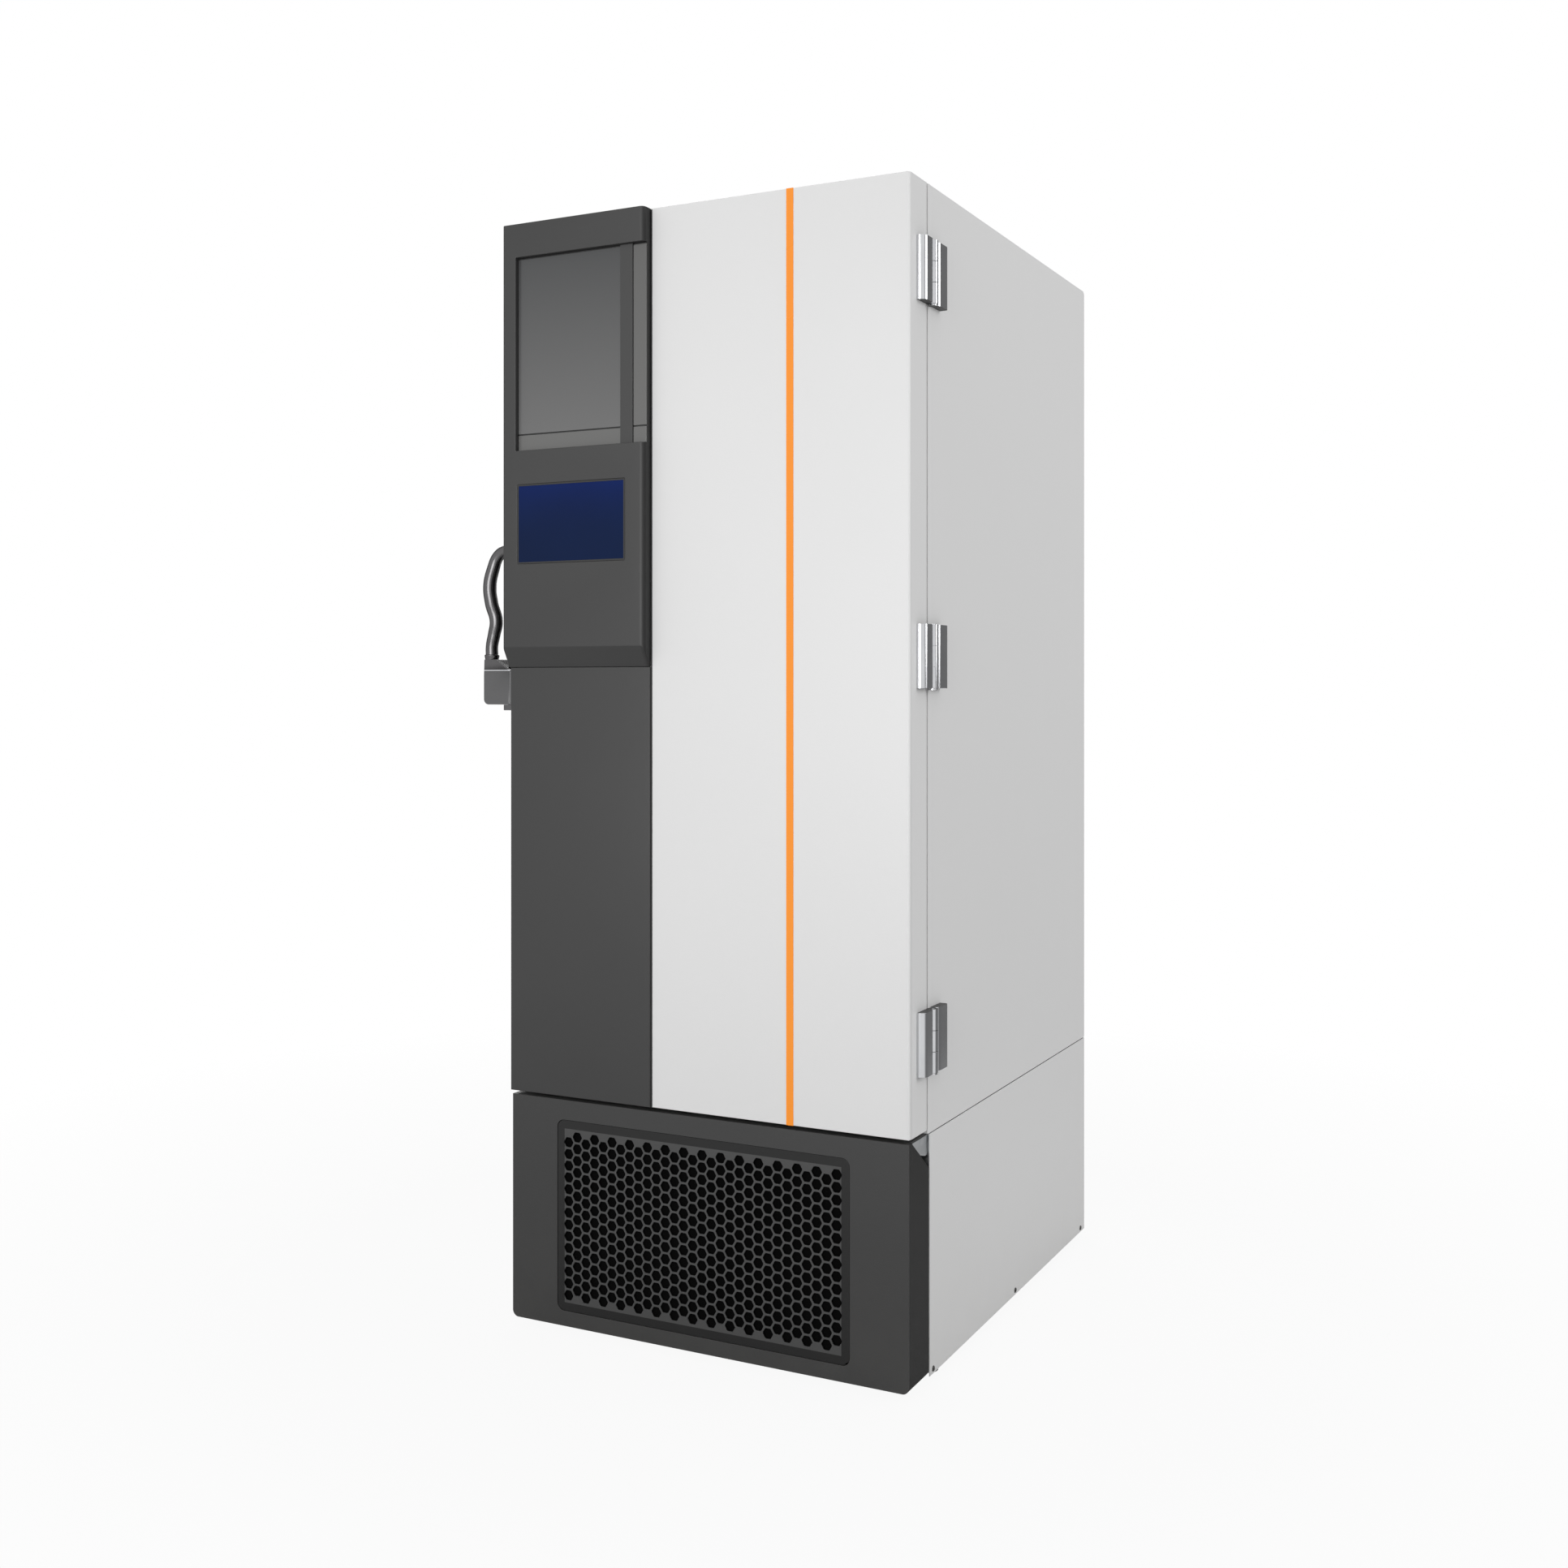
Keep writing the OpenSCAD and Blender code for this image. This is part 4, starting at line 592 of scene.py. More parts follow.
# %% Metal finishes
chrome = finish(
    "polished_chrome",
    (colour(205, 206, 208), colour(194, 195, 198)),
    (0.12, 0.20),
    grain=(260.0, 0.02),
    tone_scale=30.0,
    Metallic=1.0,
)
smoked_chrome = finish(
    "smoked_chrome",
    (colour(104, 103, 104), colour(90, 89, 90)),
    (0.20, 0.28),
    grain=(300.0, 0.03),
    tone_scale=25.0,
    Metallic=1.0,
)
stainless = finish(
    "brushed_stainless", (colour(226, 226, 225), colour(218, 218, 217)), (0.26, 0.36), Metallic=1.0
)
brush_lines = place_group(stainless.node_tree, BRUSH_LINES).outputs["Height"]
regrain(stainless, brush_lines, 0.12)
copper = finish(
    "drawn_copper",
    (colour(196, 128, 92), colour(160, 96, 66)),
    (0.22, 0.4),
    grain=(300.0, 0.05),
    tone_scale=18.0,
    Metallic=1.0,
)
fin_aluminium = finish(
    "fin_aluminium", (colour(196, 198, 200), colour(176, 178, 181)), (0.3, 0.42), Metallic=1.0
)
foil = finish("wrinkled_foil", (colour(214), colour(196)), (0.2, 0.34), grain=(90.0, 0.6), Metallic=1.0)
print("metal finishes made")


# %% Galvanised sheet
def galvanise(material):
    """Lets flat crystals steer the zinc's tone and gloss in place of the slow drift."""
    tree, bsdf = shader_of(material)
    crystals = add(tree, "TexVoronoi", Vector=object_place(tree), Scale=95.0)
    value = add(tree, "SeparateColor", Color=crystals.outputs["Color"])
    for socket, steered in (("Base Color", "Factor"), ("Roughness", "Value")):
        node = bsdf.inputs[socket].links[0].from_node
        feed(node.inputs[steered], value.outputs[0])
    return material


zinc_tones = (colour(200, 203, 205), colour(213, 215, 217))
zinc = galvanise(finish("galvanised_sheet", zinc_tones, (0.38, 0.5), Metallic=1.0))
print("zinc made:", zinc.name)

# %% [markdown]
# ## Smoked window and screen
# The window in the console is a smoked pane: dark at the top and lighter towards its foot, a painted
# reflection of the floor. The screen is a glossy dark blue with a slightly brighter upper band. Both are
# gradients over height, read from object coordinates, and smooth enough to mirror a little.


# %% Glass finishes
def graded(material, low_height, high_height, low_colour, high_colour, power=1.0):
    """Adds an even change of colour from one height to another, over the drift of tone."""
    tree, bsdf = shader_of(material)
    mask = ranged(tree, object_axes(tree)["Z"], 0.0, 1.0, low_height, high_height)
    gradient = mix_colours(tree, math_node(tree, "POWER", mask, power), low_colour, high_colour)
    drift = bsdf.inputs["Base Color"].links[0].from_socket
    set_inputs(bsdf, Base_Color=mix_colours(tree, 1.0, gradient, drift, "MULTIPLY"))
    return material


def pane_glass(name, tones, roughness, low_colour, high_colour):
    """The glossy glass of one kind of pane, with a painted reflection of the floor from the window's foot
    to its top.
    """
    glass = finish(name, tones, roughness, grain=(40.0, 0.01), Specular_IOR_Level=0.4)
    return graded(glass, window_low.z, window_high.z, low_colour, high_colour)


window_low, window_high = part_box("console_window")
# Painted reflection: both panes and the foot strips are lighter towards the foot, as if they mirrored the
# floor.
smoked_pane = pane_glass(
    "smoked_pane", (colour(250), colour(244)), (0.16, 0.22), colour(116), colour(76, 77, 78)
)
side_pane = pane_glass(
    "side_pane", (colour(250), colour(238)), (0.2, 0.28), colour(113, 113, 112), colour(104, 104, 103)
)
band_plastic = finish("window_band_plastic", (colour(71), colour(67)), (0.3, 0.4), Specular_IOR_Level=0.3)
screen_low, screen_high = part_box("touch_screen")
screen_blue = graded(
    finish(
        "screen_glass",
        (colour(255), colour(226)),
        (0.2, 0.26),
        grain=(40.0, 0.01),
        tone_scale=6.0,
        Specular_IOR_Level=0.12,
    ),
    screen_low.z,
    screen_high.z,
    colour(6, 29, 68),
    colour(8, 34, 96),
    power=3.0,
)
print("glass finishes made, window from", round(window_low.z, 3), "to", round(window_high.z, 3))

# %% [markdown]
# ## Insulation and filter
# Foam shows where a skin is off: it is creamy, and full of tiny bubbles. The filter behind the grille
# is a black open foam, which swallows light, so the hexagons in front of it read as dark holes.


# %% Foam finishes
def bubbly(material, scale, strength):
    """Gives a foam its cells."""
    tree = material.node_tree
    cells = add(tree, "TexVoronoi", Vector=object_place(tree), Scale=scale)
    return regrain(material, cells.outputs["Distance"], strength)


cream_foam = bubbly(
    finish("cream_foam", (colour(232, 214, 160), colour(222, 200, 142)), (0.8, 0.9)), 400.0, 0.4
)
filter_foam = bubbly(
    finish("filter_foam", (colour(10), colour(5)), (0.85, 0.95), Specular_IOR_Level=0.05), 700.0, 0.8
)
print("foam finishes made")

# %% [markdown]
# ## The outer door's skin
# The real skin is one steel sheet, folded back along all four sides, with a tight radius along the
# upright front edges and an even tighter one at the top and bottom. It could be a box with a bevel
# modifier, but then every edge would get the same radius. So the box loses its back, its upright and
# level edges are bevelled in turn, and a Solidify modifier gives the sheet its thickness inwards.

# %% Door skin
SHEET = 1.3 * MM
UPRIGHT_RADIUS = 4 * MM
LEVEL_RADIUS = 1.2 * MM
door_low, door_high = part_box("door_shell")
skin_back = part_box("door_liner")[0].y - 0.2 * MM


def folded_pan(name, low, high, upright_radius, level_radius):
    """A sheet pan that opens towards +Y, with its own radius on upright and level front edges."""
    pan = block(name, low, high)
    choose_faces(pan, lambda centre, normal: normal.y > 0.5)
    bpy.ops.mesh.delete(type="FACE")
    object_mode()

    def front_upright(a, b):
        return abs(a.z - b.z) > TALL and max(a.y, b.y) < low[1] + MM

    def front_level(a, b):
        return abs(a.z - b.z) < NEAR and max(a.y, b.y) < low[1] + upright_radius + NEAR

    bevel_edges(pan, front_upright, upright_radius, 6)
    bevel_edges(pan, front_level, level_radius, 3)
    apply_modifier(pan, "SOLIDIFY", thickness=SHEET, offset=-1)
    smooth(pan, 30)
    return pan


skin_high = (door_high.x, skin_back, door_high.z)
door_skin = folded_pan("door_skin", door_low, skin_high, UPRIGHT_RADIUS, LEVEL_RADIUS)
dress(door_skin, "door", "white_enamel", white_coat, "door_shell")
print("door skin:", len(door_skin.data.polygons), "faces")

# %% [markdown]
# ## The column on the left of the door
# A charcoal panel covers the door's left third. Its upper part is a console that stands 20 mm
# further out, with a slanted underside, a smoked window that is open to the right, and a screen.
# It is built up from a box: one edge is lifted for the slant, the window and the screen are cut out,
# and a bevel then rounds every edge by the small radius of a moulding. A narrow black strip beside
# the column is painted shade: it stands for the shadow in the gap between the moulding and the white
# skin.

# %% Lower column panel
panel_low, panel_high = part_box("lower_panel")
column_panel = block("column_panel", panel_low, (panel_high.x, door_low.y, panel_high.z))
bevel_edges(column_panel, lambda a, b: max(a.y, b.y) < panel_low.y + NEAR, 1.8 * MM, 4)
smooth(column_panel, 40)
dress(column_panel, "door", "charcoal_plastic", charcoal_plastic, "lower_panel")
print("column panel:", len(column_panel.data.polygons), "faces")

# %% Painted shadow on the right of the column
COLUMN_GAP = 2.6 * MM
GAP_PROUD = 0.8 * MM
# Painted shade: a black strip, a little proud of the skin, where the gap's shadow falls.
shadow_strip = block(
    "column_shadow_strip",
    (panel_high.x, door_low.y - GAP_PROUD, panel_low.z),
    (panel_high.x + COLUMN_GAP, door_low.y, door_high.z - 2 * MM),
)
soften(shadow_strip, 0.3 * MM)
dress(shadow_strip, "door", "charcoal_plastic", black_plastic)
print("shadow gap", COLUMN_GAP, "wide")

# %% Console moulding
SLANT_HEIGHT = 36 * MM
LEFT_RADIUS = 4 * MM
front = console_low.y
console = block("console_shell", console_low, (console_high.x, panel_low.y, console_high.z))


def front_bottom(a, b):
    """Tells whether an edge is the lower edge of the console's front."""
    return max(a.z, b.z) < console_low.z + NEAR and max(a.y, b.y) < front + NEAR


choose_edges(console, front_bottom)
bpy.ops.transform.translate(value=(0, 0, SLANT_HEIGHT))
object_mode()
choose_faces(console, lambda centre, normal: normal.y > 0.9)
bpy.ops.mesh.extrude_region_move(TRANSFORM_OT_translate={"value": (0, door_low.y - panel_low.y, 0)})
object_mode()


def upright_at(x):
    """Tells whether an edge is a tall front edge at x."""

    def test(a, b):
        at_x = max(abs(a.x - x), abs(b.x - x)) < NEAR
        return at_x and abs(a.z - b.z) > TALL and a.y < front + NEAR

    return test


bevel_edges(console, upright_at(console_high.x), RIGHT_RADIUS, 8)
bevel_edges(console, upright_at(console_low.x), LEFT_RADIUS, 5)
print("console with its slant and its rounded sides:", len(console.data.polygons), "faces")

# %% Opening for the window
PLAY = 0.3 * MM
PANE_BACK = 12.5 * MM
window_tool = block(
    "window_tool",
    (window_low.x - PLAY, front - PAST, window_low.z - PLAY),
    (console_high.x + PAST, front + PANE_BACK, window_high.z + PLAY),
)
cut(console, window_tool)
print("window opened:", len(console.data.polygons), "faces")

# %% Opening for the screen and hollow behind it
BOARD_BELOW = 6 * MM
BOARD_ABOVE = 2 * MM
GLASS_DEPTH = 3 * MM
REVEAL = 0.8 * MM
FRONT_WALL = 3.2 * MM
LEFT_WALL = 6 * MM
RIGHT_WALL = 12 * MM
TOP_WALL = 8 * MM
glass_low = Vector((screen_low.x, front, screen_low.z + BOARD_BELOW + PLAY))
glass_high = Vector((screen_high.x, front + GLASS_DEPTH, screen_high.z - BOARD_ABOVE - PLAY))


def beside_glass(name, out, front_y, back_y):
    """A block that is larger than the screen's glass by out on its four sides."""
    low = (glass_low.x - out, front_y, glass_low.z - out)
    high = (glass_high.x + out, back_y, glass_high.z + out)
    return block(name, low, high)


cut(console, beside_glass("screen_tool", REVEAL, front - PAST, front + 2 * PAST))
hollow_tool = block(
    "hollow_tool",
    (console_low.x + LEFT_WALL, front + FRONT_WALL, console_low.z + SLANT_HEIGHT + LEFT_WALL),
    (console_high.x - RIGHT_WALL, door_low.y + PAST, window_low.z - TOP_WALL),
)
cut(console, hollow_tool)
soften(console, 1.3 * MM)
dress(console, "door", "charcoal_plastic", charcoal_plastic, "console_housing")
print("console:", len(console.data.polygons), "faces")

# %% Sizes of the window's panes
BAND_LEFT = 243 * MM
BAND_WIDTH = 25 * MM
BAND_PROUD = 2 * MM
FOOT_HEIGHT = 30 * MM
GAP = 0.6 * MM
WIDE_GAP = 2.5 * MM
pane_front = window_low.y + BAND_PROUD
band_left = console_low.x + BAND_LEFT
band_right = band_left + BAND_WIDTH
foot_top = window_low.z + FOOT_HEIGHT
main_x = (window_low.x, band_left - GAP)
side_x = (band_right + GAP, console_high.x - 0.5 * MM)
upper_z = (foot_top, window_high.z - WIDE_GAP)
lower_z = (window_low.z, foot_top - WIDE_GAP)
band_x = (band_left, band_right)
band_z = (window_low.z, window_high.z)
print("band from", round(band_left, 4), "to", round(band_right, 4), "foot up to", round(foot_top, 4))

# %% Window panes, band and foot strip
WINDOW_PIECES = (
    # name, slot, finish, place across, place up, front
    ("window_pane", "smoked_window", smoked_pane, main_x, upper_z, pane_front),
    ("window_side_pane", "smoked_window", side_pane, side_x, upper_z, pane_front),
    ("window_band", "charcoal_plastic", band_plastic, band_x, band_z, window_low.y),
    ("window_foot", "smoked_window", side_pane, main_x, lower_z, pane_front),
    ("window_side_foot", "smoked_window", side_pane, side_x, lower_z, pane_front),
)
for name, slot, material, (left, right), (bottom, top), front_y in WINDOW_PIECES:
    piece = soften(block(name, (left, front_y, bottom), (right, window_high.y, top)), 0.5 * MM)
    dress(piece, "door", slot, material, "console_window")
    print(name, "from", round(left, 3), "to", round(right, 3))

# %% Screen glass and its bezel
GLASS_SUNK = 0.9 * MM
BEZEL = 2.2 * MM
BEZEL_OUT = 0.7 * MM
BEZEL_SUNK = 0.2 * MM
BEZEL_BACK = 2.6 * MM
screen_glass = block("screen_glass", glass_low + Vector((0, GLASS_SUNK, 0)), glass_high)
bevel_edges(screen_glass, lambda a, b: max(a.y, b.y) < front + MM, 0.7 * MM, 3)
screen_bezel = beside_glass("screen_bezel", BEZEL_OUT, front + BEZEL_SUNK, front + BEZEL_BACK)
cut(screen_bezel, beside_glass("bezel_tool", -BEZEL, front - PAST, front + 2 * PAST))
soften(screen_bezel, 0.3 * MM)
dress(screen_glass, "door", "screen_glass", screen_blue, "touch_screen")
dress(screen_bezel, "door", "charcoal_plastic", black_plastic)
print("screen glass:", len(screen_glass.data.polygons), "faces")

# %% Board behind the screen
BOARD_FRONT = 14.2 * MM
BOARD_BACK = 16 * MM
BOARD_INSET = 2 * MM
display_board = block(
    "display_board",
    (screen_low.x + BOARD_INSET, front + BOARD_FRONT, screen_low.z),
    (screen_high.x - BOARD_INSET, front + BOARD_BACK, screen_high.z),
)
soften(display_board, 0.3 * MM)
dress(display_board, "door", "screen_glass", black_plastic)
print("board behind the screen:", len(display_board.data.polygons), "faces")

# %% [markdown]
# ## Copies of the solids with merged corners
# A node arrives as loose triangles with knife-sharp edges. Its shape is right, so for a part that is
# only bent, turned or stamped a copy is merged, its flat triangles are joined into whole faces, and
# its sharp edges get the radius that the real process leaves. This keeps sizes exact and costs little.
# The top and bottom end faces of the hinges' leaf covers take a black finish, a painted shade for the
# shadow line at each hinge.


# %% Merged copies with soft edges
def softened_copy(node, name, width, segments=2, flat=1.0):
    """A copy of a CAD node as a closed mesh, with its sharp edges rounded by width.

    flat is the angle in degrees under which neighbouring triangles become one face, or None where
    the faces are full of holes and have to stay triangles."""
    source = frame["nodes"][node]
    piece = source.copy()
    piece.data = source.data.copy()
    piece.parent = None
    piece.name = name
    piece.data.name = name
    bpy.context.scene.collection.objects.link(piece)
    only(piece)
    bpy.ops.object.mode_set(mode="EDIT")
    bpy.ops.mesh.select_all(action="SELECT")
    bpy.ops.mesh.remove_doubles(threshold=MM / 100)
    if flat:
        bpy.ops.mesh.dissolve_limited(angle_limit=math.radians(flat))
    object_mode()
    if piece.data.has_custom_normals:
        bpy.ops.mesh.customdata_custom_splitnormals_clear()
    return soften(piece, width, segments, clamp=bool(flat))


# %% Nodes that are finished as softened copies
SOFTENED = (
    # node, body, slot, finish, edge radius in mm
    ("door_hinge_leaves", "door", "chrome", chrome, 0.8),
    ("cabinet_hinge_leaves", "cabinet", "chrome", chrome, 0.8),
    ("handle_base", "door", "dark_chrome", smoked_chrome, 1.0),
    ("base_cover", "grille_cover", "graphite_cover", graphite_coat, 1.2),
    ("front_grille", "grille_cover", "graphite_cover", graphite_grille, 0.9),
    ("cover_hinge_brackets", "cabinet", "galvanised_steel", zinc, 0.5),
    ("latch_striker", "cabinet", "chrome", chrome, 1.0),
    ("lock_barrel", "lock", "chrome", chrome, 0.5),
    ("inner_door_upper", "inner_door_top", "white_plastic", white_plastic, 2.0),
    ("inner_door_lower", "inner_door_bottom", "white_plastic", white_plastic, 2.0),
    ("rear_bumpers", "cabinet", "caster_rubber", caster_rubber, 3.0),
    ("shelves", "cabinet", "stainless_steel", stainless, 0.6),
    ("power_inlet", "cabinet", "fan_plastic", black_plastic, 0.6),
    ("power_rocker", "rocker", "fan_plastic", black_plastic, 0.5),
    ("control_box", "cabinet", "galvanised_steel", zinc, 1.2),
    ("fan_blades", "fan", "fan_plastic", black_plastic, 0.6),
)
PERFORATED = {"front_grille": {"segments": 1, "flat": None}}
SHADE_PAINTED_ENDS = ("door_hinge_leaves", "cabinet_hinge_leaves")
for node, body, slot, material, radius in SOFTENED:
    piece = softened_copy(node, node + "_finished", radius * MM, **PERFORATED.get(node, {}))
    dress(piece, body, slot, material, node)
    # Painted shade: the leaf covers' top and bottom faces are black.
    if node in SHADE_PAINTED_ENDS:
        piece.data.materials.append(black_plastic)
        for face in piece.data.polygons:
            if abs(face.normal.z) > 0.9:
                face.material_index = 1
    print(piece.name, len(piece.data.polygons), "faces")

# %% [markdown]
# ## The grip
# The grip is a cast bar, bent like a flat S, in smoked chrome. Round bar of changing thickness is
# hard to keep smooth by extruding by hand, and easy as a curve. The solid's centre line is a chain of
# arcs. The photograph shows the S a little higher, so here the line runs smoothly through listed
# points, each with the bar's thickness there. Automatic handles keep it round between the
# points, and at the end the curve becomes a mesh.

# %% Centre line of the grip
BAR_RADIUS = 11 * MM
HUB_THICKNESS = 0.92
GRIP_SWELL = 1.12
# From the hub down: distance from the grip's outer side, height above the block, thickness. The
# first two are in mm, and the third is a share of the bar's radius.
GRIP_POINTS = (
    (46.0, 196.7, 0.94),
    (31.5, 188.0, 0.98),
    (20.0, 165.0, 1.06),
    (12.6, 135.0, 1.12),
    (16.5, 103.0, 1.12),
    (26.8, 70.0, 1.10),
    (22.0, 45.0, 1.04),
    (17.4, 25.0, 1.02),
    (17.4, 6.0, 1.05),
)
bar_low, bar_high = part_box("handle_bar")
block_low, block_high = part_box("handle_block")
grip_y = bar_low.y + GRIP_SWELL * BAR_RADIUS
grip_line = [(bar_low.x + x * MM, block_high.z + z * MM, share) for x, z, share in GRIP_POINTS]
foot_x = grip_line[-1][0]
grip_line.insert(0, (bar_high.x - BAR_RADIUS, grip_line[0][1], HUB_THICKNESS))
grip_line.append((foot_x, bar_low.z + MM, grip_line[-1][2]))
print("grip line:", len(grip_line), "points, box from", [round(v, 4) for v in bar_low])

# %% Grip
curve = bpy.data.curves.new("grip", "CURVE")
curve.dimensions = "3D"
curve.bevel_depth = BAR_RADIUS
curve.bevel_resolution = 10
curve.use_fill_caps = True
curve.resolution_u = 14
spline = curve.splines.new("BEZIER")
spline.bezier_points.add(len(grip_line) - 1)
for point, (x, z, thickness) in zip(spline.bezier_points, grip_line):
    point.co = (x, grip_y, z)
    point.radius = thickness
    point.handle_left_type = "AUTO"
    point.handle_right_type = "AUTO"
grip = bpy.data.objects.new("grip", curve)
bpy.context.scene.collection.objects.link(grip)
only(grip)
bpy.ops.object.convert(target="MESH")
grip = bpy.context.active_object
smooth(grip, 50)
print("grip:", len(grip.data.polygons), "faces")

# %% Hub of the grip, turned on the lever's own axis
HUB_RADIUS = 12 * MM
HUB_HEIGHT = 35 * MM
PIN_RADIUS = 5.05 * MM
joints = {joint["name"]: joint for joint in frame["record"]["behaviour"]["joints"]}
lever_axis = Vector(joints["lever_turn"]["pos_m"])


def upright_round(name, centre, radius, depth):
    """An upright round solid from the cylinder primitive."""
    bpy.ops.object.select_all(action="DESELECT")
    bpy.ops.mesh.primitive_cylinder_add(vertices=48, radius=radius, depth=depth, location=centre)
    return settle(name)


hub_middle = (lever_axis.x, lever_axis.y, bar_high.z - HUB_HEIGHT / 2)
hub = upright_round("grip_hub", hub_middle, HUB_RADIUS, HUB_HEIGHT)
cut(hub, upright_round("hub_tool", hub_middle, PIN_RADIUS, HUB_HEIGHT + PAST))
soften(hub, 1.5 * MM, segments=3)
join(grip, hub)
dress(grip, "lever", "dark_chrome", smoked_chrome, "handle_bar")
print("hub on the lever's axis at", [round(v, 4) for v in lever_axis])

# %% [markdown]
# ## The block under the grip
# The grip's foot is clamped in a block that carries the lock and the latch. The photograph shows a
# bright line across its upper part: the grip's socket is metal, the block below it is moulded. So
# softened copies are bisected above and below a narrow rim, and socket, rim and block each keep one
# slice and its own finish. A short cone joins the socket to the round grip.

# %% Handle block in three slices
SOCKET_HEIGHT = 20 * MM
RIM_HEIGHT = 2 * MM
rim_z = block_high.z - SOCKET_HEIGHT
rim_low = rim_z - RIM_HEIGHT / 2
rim_high = rim_z + RIM_HEIGHT / 2


def slice_of(name, low, high):
    """The part of the handle block between two heights, closed where it was cut."""
    piece = softened_copy("handle_block", name, 3.5 * MM, segments=4)
    only(piece)
    bpy.ops.object.mode_set(mode="EDIT")
    for height, below in ((low, True), (high, False)):
        bpy.ops.mesh.select_all(action="SELECT")
        bpy.ops.mesh.bisect(
            plane_co=(0, 0, height),
            plane_no=(0, 0, 1),
            use_fill=True,
            clear_inner=below,
            clear_outer=not below,
        )
    object_mode()
    return piece


socket = slice_of("grip_socket", rim_high, block_high.z + MM)
rim = slice_of("socket_rim", rim_low, rim_high)
lower_block = slice_of("handle_block_cover", block_low.z - MM, rim_low)
print("handle block from", round(block_low.z, 4), "to", round(block_high.z, 4), "rim at", round(rim_z, 4))

# %% Neck of the socket
NECK_HEIGHT = 26 * MM
NECK_ABOVE = 9 * MM
NECK_TOP = 14 * MM
NECK_PLAY = 0.5 * MM
neck_foot = min(grip_y - block_low.y, foot_x - block_low.x) - NECK_PLAY
bpy.ops.object.select_all(action="DESELECT")
bpy.ops.mesh.primitive_cone_add(
    vertices=48,
    radius1=neck_foot,
    radius2=NECK_TOP,
    depth=NECK_HEIGHT,
    location=(foot_x, grip_y, block_high.z + NECK_ABOVE - NECK_HEIGHT / 2),
)
join(socket, soften(settle("socket_neck"), 2.5 * MM, segments=4, angle=40))
dress(socket, "lever", "dark_chrome", smoked_chrome, "handle_block")
dress(rim, "lever", "chrome", chrome, "handle_block")
dress(lower_block, "lever", "charcoal_plastic", handle_plastic, "handle_block")
print("neck of the socket from", round(neck_foot, 4), "to", NECK_TOP)

# %% [markdown]
# ## Door gasket
# A freezer's gasket is a hollow rubber bellows with a magnet in its lip. When the door is open it is
# the first thing the eye finds, so it is not left as a plain bar. Three frames of different width,
# a foot, a waist and a lip, are stacked: each is a box with its middle cut out.

# %% Gasket
gasket_low, gasket_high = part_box("door_gasket")
GASKET_WIDTH = 18 * MM


def rectangular_ring(name, share_low, share_high, inset):
    """A frame of the gasket between two shares of its depth, narrower by inset on both sides."""
    depth = gasket_high.y - gasket_low.y
    width = GASKET_WIDTH - 2 * inset
    low = Vector((gasket_low.x + inset, gasket_low.y + share_low * depth, gasket_low.z + inset))
    high = Vector((gasket_high.x - inset, gasket_low.y + share_high * depth, gasket_high.z - inset))
    tool = block(
        "ring_tool",
        (low.x + width, low.y - PAST, low.z + width),
        (high.x - width, high.y + PAST, high.z - width),
    )
    return soften(cut(block(name, low, high), tool), 0.35 * MM)


foot = rectangular_ring("gasket_foot", 0.0, 0.3, 0)
waist = rectangular_ring("gasket_waist", 0.3, 0.62, 3 * MM)
lip = rectangular_ring("gasket_lip", 0.62, 1.0, MM)
gasket = join(foot, waist, lip)
gasket.name = "gasket_bellows"
dress(gasket, "door", "gasket_rubber", seal_rubber, "door_gasket")
print("gasket:", len(gasket.data.polygons), "faces")

# %% [markdown]
# ## Finishes of the nodes that stay
# The remaining nodes have the right shape as they are. Each one only takes a finish. The list at
# the end names the visible nodes that were forgotten, and has to be empty.

# %% Finishes by node
KEPT = {
    white_coat: ("outer_shell", "lower_side_panels", "rear_service_panel"),
    zinc: ("base_pan", "base_frame", "rear_panel", "cabinet_floor", "caster_plates"),
    white_plastic: ("front_frame", "door_liner"),
    cream_foam: ("insulation_foam", "door_foam"),
    foil: ("vacuum_panels",),
    stainless: ("inner_liner", "shelf_supports", "inner_hinge_brackets", "heat_exchanger"),
    copper: ("evaporator_coil", "refrigerant_pipes"),
    black_coat: ("compressors", "fan_motor"),
    fin_aluminium: ("condenser",),
    dark_coat: ("fan_shroud", "panel_screws", "levelling_foot_left", "levelling_foot_right"),
    orange_trim: ("accent_strip",),
    filter_foam: ("air_filter",),
}
for i in range(1, 5):
    KEPT[zinc] += (f"caster_fork_{i}",)
    KEPT[caster_rubber] = KEPT.get(caster_rubber, ()) + (f"caster_wheel_{i}",)
for material, nodes in KEPT.items():
    for node in nodes:
        for material_slot in frame["nodes"][node].material_slots:
            material_slot.material = material
left_plain = [
    name
    for name, node in frame["nodes"].items()
    if not node.hide_render and not any(name in nodes for nodes in KEPT.values())
]
print("nodes without a finish:", left_plain)

# %% [markdown]
# ## Fins of the condenser
# When the base cover swings open, the condenser faces the viewer. A real one is a pack of thin
# aluminium fins that are pushed onto the copper tubes. One fin is modelled as a thin plate with soft
# edges, and an Array modifier repeats it across the pack, a little in front of the solid.

# %% Condenser fins
FIN_PITCH = 3.6 * MM
FIN_THICK = 0.5 * MM
FIN_FRONT = 0.6 * MM
FIN_FRAME = 7 * MM
FIN_END = 9 * MM
FIN_BACK = 3.5 * MM
shroud_low, shroud_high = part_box("fan_shroud")
condenser_low, condenser_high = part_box("condenser")
fin_start = shroud_low.x + FIN_FRAME
fin = block(
    "condenser_fins",
    (fin_start, condenser_low.y + FIN_FRONT, condenser_low.z + FIN_END),
    (fin_start + FIN_THICK, condenser_low.y + FIN_BACK, condenser_high.z - FIN_END),
)
fin_count = int((shroud_high.x - FIN_FRAME - fin_start) / FIN_PITCH)
apply_modifier(
    fin,
    "ARRAY",
    count=fin_count,
    use_relative_offset=False,
    use_constant_offset=True,
    constant_offset_displace=(FIN_PITCH, 0, 0),
)
soften(fin, 0.12 * MM, segments=1)
dress(fin, "cabinet", "condenser_fins", fin_aluminium)
print("fins:", fin_count)

